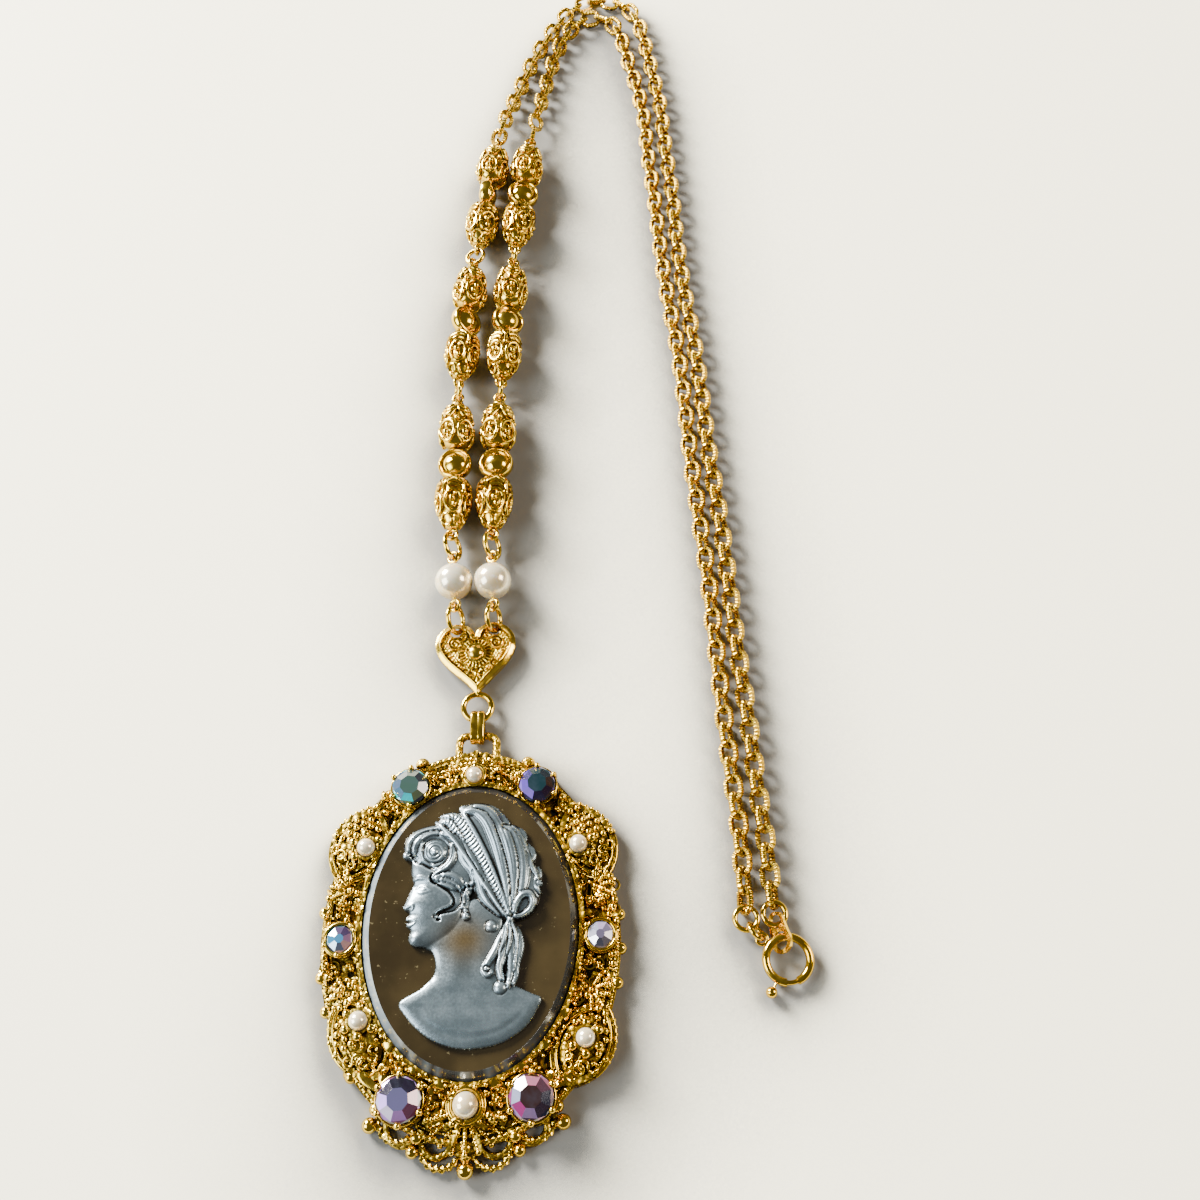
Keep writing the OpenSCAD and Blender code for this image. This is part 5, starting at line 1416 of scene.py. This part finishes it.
class CAMEO_OT_strands(bpy.types.Operator):
    """Models one bar of filigree beads and a polished button, and copies it along both strands"""

    bl_idname = "cameo.strands"
    bl_label = "Strands"

    # A bead lies from INNER to INNER + LENGTH along the bar; its radius by share of that length
    RADIUS, INNER, LENGTH = 3.0, 3.0, 9.3
    PROFILE = [(0, 0.28), (0.08, 0.52), (0.24, 0.79), (0.45, 0.95), (0.66, 1), (0.86, 0.9), (0.96, 0.66),
               (1, 0.36)]

    def radius(self, run):
        """Radius of a bead at a place along the bar."""
        return self.RADIUS * np.interp(1 - (run - self.INNER) / self.LENGTH, *np.transpose(self.PROFILE))

    def on_bead(self, path, lift, hand):
        """Puts a flat path (run, turn in degrees) round a bead that lies along X."""
        out = []
        for run, turn in path:
            r = self.radius(run) * 0.9 + lift
            a = math.radians(turn)
            out.append([hand * run, r * math.cos(a), r * math.sin(a)])
        return np.array(out)

    def half(self, dark, wires, bright, hand, leaves_out):
        """One bead with its scrolls; hand is the end of the bar that it makes."""
        run = np.linspace(self.INNER + self.LENGTH, self.INNER, 20)
        dark.add(*self.turned(hand * run, np.maximum(self.radius(run) * 0.86, 0.4), 20))
        ovals, leaves = (5.5, 9.6) if leaves_out else (8.2, 4.6)
        for j in range(5):
            t0 = 72 * j + (0 if hand > 0 else 36)
            k = np.radians(np.arange(0, 360, 15))
            loop = [(ovals + 1.85 * math.cos(a), t0 + 29 * math.sin(a)) for a in k]
            bright.add(*tube(self.on_bead(loop, 0.16, hand), 0.3, 8, True))
            for du, dt, r in ((0.72, 4, 0.5), (-0.35, -5, 0.55), (-1.15, 6, 0.36)):
                p = self.on_bead([(ovals + du, t0 + dt)], 0.1, hand)[0]
                bright.placed(self.granule, p, r)
            # A pointed leaf of thick ribs
            for q, reach in ((-0.85, 15), (0.0, 25), (0.85, 20)):
                rib = [(leaves + q + 0.25, t0 - reach), (leaves + q - 0.1, t0),
                       (leaves + q + 0.25, t0 + reach)]
                wires.add(*tube(self.on_bead(smooth_path(rib, 4), 0.12, hand), 0.34, 8))
            for side in (-1, 1):
                edge = [(leaves - 1.5, t0 + side * 8), (leaves + 0.1, t0 + side * 31),
                        (leaves + 1.5, t0 + side * 34)]
                bright.add(*tube(self.on_bead(smooth_path(edge, 5), 0.14, hand), 0.24, 6))
            p = self.on_bead([((ovals + leaves) / 2 + 0.1, t0 + 36)], 0.06, hand)[0]
            bright.placed(self.granule, p, 0.46)
            if not leaves_out:
                loop = [(11.1 + 0.8 * math.cos(a), t0 + 36 + 30 * math.sin(a)) for a in k[::2]]
                bright.add(*tube(self.on_bead(loop, 0.12, hand), 0.22, 6, True))
        bright.add(*self.turned(hand * np.array([12.35, 12.1, 11.7, 11.4]), (0.75, 1.1, 1.25, 1.2), 16))
        eye = [[hand * 13.3 + 0.85 * math.cos(a), 0.85 * math.sin(a), 0]
               for a in np.radians(np.arange(0, 360, 18))]
        bright.add(*tube(np.array(eye), 0.3, 8, True))

    def turned(self, axis, radii, sides):
        """A round body turned about X."""
        a = np.arange(sides) * 2 * math.pi / sides
        v = np.array([[x, r * math.cos(t), r * math.sin(t)] for x, r in zip(axis, radii) for t in a])
        return v, strips(len(axis), sides)

    def button(self, bright):
        """Polished double-domed button: a disc with its rim and both faces bulged."""
        rows = [(0.001, 1.66), (0.55, 1.61), (1.05, 1.46), (1.5, 1.2), (1.85, 0.88), (2.04, 0.62),
                (2.12, 0.5), (2.2, 0.54), (2.3, 0.84), (2.45, 0.98), (2.64, 0.92), (2.8, 0.66),
                (2.88, 0.28)]
        rows += [(r, -z) for r, z in reversed(rows)]
        sides = 36
        turns = [2 * math.pi * j / sides for j in range(sides)]
        bright.add([[r * math.cos(a), r * math.sin(a), z] for r, z in rows for a in turns],
                   strips(len(rows), sides))

    def execute(self, context):
        self.granule = granule_shape()
        dark, wires, bright = Heap(), Heap(), Heap()
        self.half(dark, wires, bright, 1, True)
        self.half(dark, wires, bright, -1, False)
        self.button(bright)
        for side in ("left", "right"):
            for k in (1, 2, 3):
                node = f"bar_{side}_{k}"
                mid, axes, _ = solids_of(node)[0]
                if axes[0][1] < 0:
                    axes[0], axes[1] = -axes[0], -axes[1]
                if axes[2][2] < 0:
                    axes[1], axes[2] = -axes[1], -axes[2]
                for heap, name, finish, nodes in (
                    (dark, "core", "wire", (node,)),
                    (wires, "ribs", "wire", ()),
                    (bright, "wires", "polished", ()),
                ):
                    copy = Heap()
                    copy.add(np.concatenate(heap.verts) @ axes + mid, heap.faces)
                    copy.piece(f"{node}_{name}", MATERIALS[finish], "antique_gilt", nodes, 60)
        return {"FINISHED"}


class CAMEO_OT_chain(bpy.types.Operator):
    """Models one ridged chain link and copies it to every link's place"""

    bl_idname = "cameo.chain"
    bl_label = "Chain"

    def link(self):
        """An oval link of round wire, with the run of the ridges along it and where they show."""
        r, half, wire, ridge = 1.22, 0.57, 0.45, 0.6
        pts, ends = [], []
        for j in range(16):
            end = 1 if j < 4 or j > 11 else -1
            a = math.radians(-90 + 180 * ((j + 4) % 8) / 7)
            pts.append([end * (half + r * math.cos(a)), end * r * math.sin(a), 0])
            ends.append(0.0 if (j + 4) % 8 in (3, 4) else 1.0)
        steps = np.linalg.norm(np.diff(pts, axis=0), axis=1)
        run = np.concatenate([[0], np.cumsum(steps)]) / ridge
        sides = 6
        return tube(np.array(pts), wire, sides, True), np.repeat(run, sides), np.repeat(ends, sides)

    def execute(self, context):
        shape, run, ends = self.link()
        for side in ("left", "right"):
            heap, links = Heap(), solids_of(f"chain_{side}")
            for mid, axes, _ in links:
                heap.placed(shape, mid, 1.0, axes)
            obj = heap.piece(f"chain_{side}_links", MATERIALS["chain"], "antique_gilt", (f"chain_{side}",), 60)
            vertex_values(obj.data, "ridge", np.tile(run, len(links)), 0.0)
            vertex_values(obj.data, "ends", np.tile(ends, len(links)), 0.0)
        return {"FINISHED"}


class CAMEO_OT_rings(bpy.types.Operator):
    """Models the stout jump rings and the double band of the bail"""

    bl_idname = "cameo.rings"
    bl_label = "Rings and bail"

    def execute(self, context):
        nodes = [f"{kind}_{side}" for kind in ("heart_jump", "pearl_jump", "end_ring")
                 for side in ("left", "right")]
        nodes += [f"bar_jump_{side}_{k}" for side in ("left", "right") for k in (1, 2)] + ["clasp_link"]
        a = np.radians(np.arange(0, 360, 12))
        for node in nodes:
            mid, axes, size = solids_of(node)[0]
            wire = size[2]
            flat = np.column_stack([(size[0] - wire) / 2 * np.cos(a), (size[1] - wire) / 2 * np.sin(a),
                                    0 * a])
            verts, faces = tube(flat, wire / 2 * 1.32, 10, True)
            heap = Heap()
            heap.placed((verts, faces), mid, 1.0, axes)
            heap.piece(f"{node}_ring", MATERIALS["polished"], "antique_gilt", (node,), 60)
        self.bail()
        return {"FINISHED"}

    def bail(self):
        """A band bent round both loops, with two rounded ridges along it."""
        lo, hi = [np.array(c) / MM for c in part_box("bail")]
        mid, half_y, half_z = (lo + hi) / 2, (hi[1] - lo[1]) / 2, (hi[2] - lo[2]) / 2
        across = np.linspace(-1, 1, 17)
        outer = 0.12 * np.sqrt(np.abs(np.sin(math.pi * across))) - 0.1 * (np.abs(across) > 0.97)
        rows = [(u, grow) for u, grow in zip(across, outer)] + [(u, -0.42) for u in across[::-1]]
        verts, turns = [], np.radians(np.arange(0, 360, 10))
        flat = max(half_y - half_z, 0)
        for c, s in map(unit, turns):
            for u, grow in rows:
                r = half_z + grow
                verts.append([mid[0] + u * 1.05, mid[1] + r * c + math.copysign(flat, c), mid[2] + r * s])
        heap = Heap()
        heap.add(np.array(verts), strips(len(turns), len(rows), True))
        heap.piece("bail_band", MATERIALS["polished"], "antique_gilt", ("bail",), 60)


class CAMEO_OT_fittings(bpy.types.Operator):
    """Gives the pins and the clasp their metal"""

    bl_idname = "cameo.fittings"
    bl_label = "Fittings"

    def execute(self, context):
        for name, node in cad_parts.items():
            if not node.hide_render and name != "frame":
                node.data.materials.clear()
                node.data.materials.append(MATERIALS["polished"])
        return {"FINISHED"}


class CAMEO_OT_stage(bpy.types.Operator):
    """Lays the pale floor, the soft lights and the camera"""

    bl_idname = "cameo.stage"
    bl_label = "Stage"

    def execute(self, context):
        only()
        bpy.ops.mesh.primitive_plane_add(size=4, location=(0, 0, -0.00002))
        floor = bpy.context.object
        floor.name = "floor"
        paper, root, surface, where = material("paper", Specular_IOR_Level=0.2)
        cloud = noise(root, where, 6.0)
        # Painted light: the paper is lighter towards the right, where the key light is weaker, with a faint
        # random cloud
        far = root.node("ShaderNodeSeparateXYZ", {0: where}).ramp(-0.12, 0.12)
        tone = (far * 0.8 + cloud * 0.2).blend((0.93, 0.87, 0.66), (1.0, 0.945, 0.735))
        # Broad soft painted shadow away from the light, darkening the paper near the pieces: way to the light,
        # reach, openness where it is darkest
        shade = 1.0
        for toward, reach, darkest in (((-0.66, 0.66, 0.36), 0.018, 0.68), ((-0.1, 0.93, 0.34), 0.028, 0.84)):
            values = {"Distance": reach, "Normal": root.node("ShaderNodeCombineXYZ", dict(enumerate(toward)))}
            open_sky = root.node("ShaderNodeAmbientOcclusion", values, output=1, samples=12, only_local=False)
            shade = open_sky.ramp(darkest, 0.99) * shade
        feed(surface, Base_Color=shade.blend((0.19, 0.186, 0.17), tone))
        feed(surface, Roughness=cloud * 0.1 + 0.6)
        floor.data.materials.append(paper)

        world = bpy.data.worlds.new("studio")
        context.scene.world = world
        world.use_nodes = True
        sky = world.node_tree.nodes["Background"].inputs
        sky["Color"].default_value, sky["Strength"].default_value = (0.97, 0.97, 0.97, 1), 0.13
        for name, place, size, power, colour in (
            ("key", (-0.84, 0.84, 0.54), 0.46, 138.0, (1.0, 0.98, 0.93)),
            ("window", (-0.55, -0.12, 0.40), 0.40, 8.0, (0.86, 0.94, 1.0)),
            ("fill", (0.60, 0.10, 0.40), 0.25, 5.0, (1.0, 0.88, 0.72)),
        ):
            light = bpy.data.lights.new(name, "AREA")
            light.size, light.energy, light.color = size, power, colour
            lamp = bpy.data.objects.new(name, light)
            lamp.location = place
            aim = Vector((0.01, 0.03, 0)) - Vector(place)
            lamp.rotation_euler = aim.to_track_quat("-Z", "Y").to_euler()
            context.collection.objects.link(lamp)

        camera = bpy.data.cameras.new("camera")
        camera.lens, camera.sensor_width = 36.06, 36
        camera.clip_start = 0.01
        eye = bpy.data.objects.new("camera", camera)
        eye.location = (0.01735, -0.0327, 0.1726)
        eye.rotation_euler = (math.radians(26), 0, math.radians(-1.07))
        context.collection.objects.link(eye)
        context.scene.camera = eye
        return {"FINISHED"}


class CAMEO_PT_panel(bpy.types.Panel):
    """The pendant's steps and settings"""

    bl_idname = "CAMEO_PT_panel"
    bl_label = "Cameo pendant"
    bl_space_type = "VIEW_3D"
    bl_region_type = "UI"
    bl_category = "Cameo"

    def draw(self, context):
        for name in CameoSettings.__annotations__:
            self.layout.prop(context.scene.cameo_settings, name)
        for step in STEPS:
            self.layout.operator(step.bl_idname)


STEPS = [
    CAMEO_OT_materials, CAMEO_OT_cameo, CAMEO_OT_stones, CAMEO_OT_pearls, CAMEO_OT_frame, CAMEO_OT_heart,
    CAMEO_OT_strands, CAMEO_OT_chain, CAMEO_OT_rings, CAMEO_OT_fittings, CAMEO_OT_stage,
]


def register():
    for one in [CameoSettings, *STEPS, CAMEO_PT_panel]:
        bpy.utils.register_class(one)
    bpy.types.Scene.cameo_settings = bpy.props.PointerProperty(type=CameoSettings)


def unregister():
    del bpy.types.Scene.cameo_settings
    for one in reversed([CameoSettings, *STEPS, CAMEO_PT_panel]):
        bpy.utils.unregister_class(one)


def main():
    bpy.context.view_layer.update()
    register()
    bpy.ops.cameo.materials()
    bpy.ops.cameo.cameo()
    bpy.ops.cameo.stones()
    bpy.ops.cameo.pearls()
    bpy.ops.cameo.frame()
    bpy.ops.cameo.heart()
    bpy.ops.cameo.strands()
    bpy.ops.cameo.chain()
    bpy.ops.cameo.rings()
    bpy.ops.cameo.fittings()
    bpy.ops.cameo.stage()


if __name__ == "__main__":
    main()
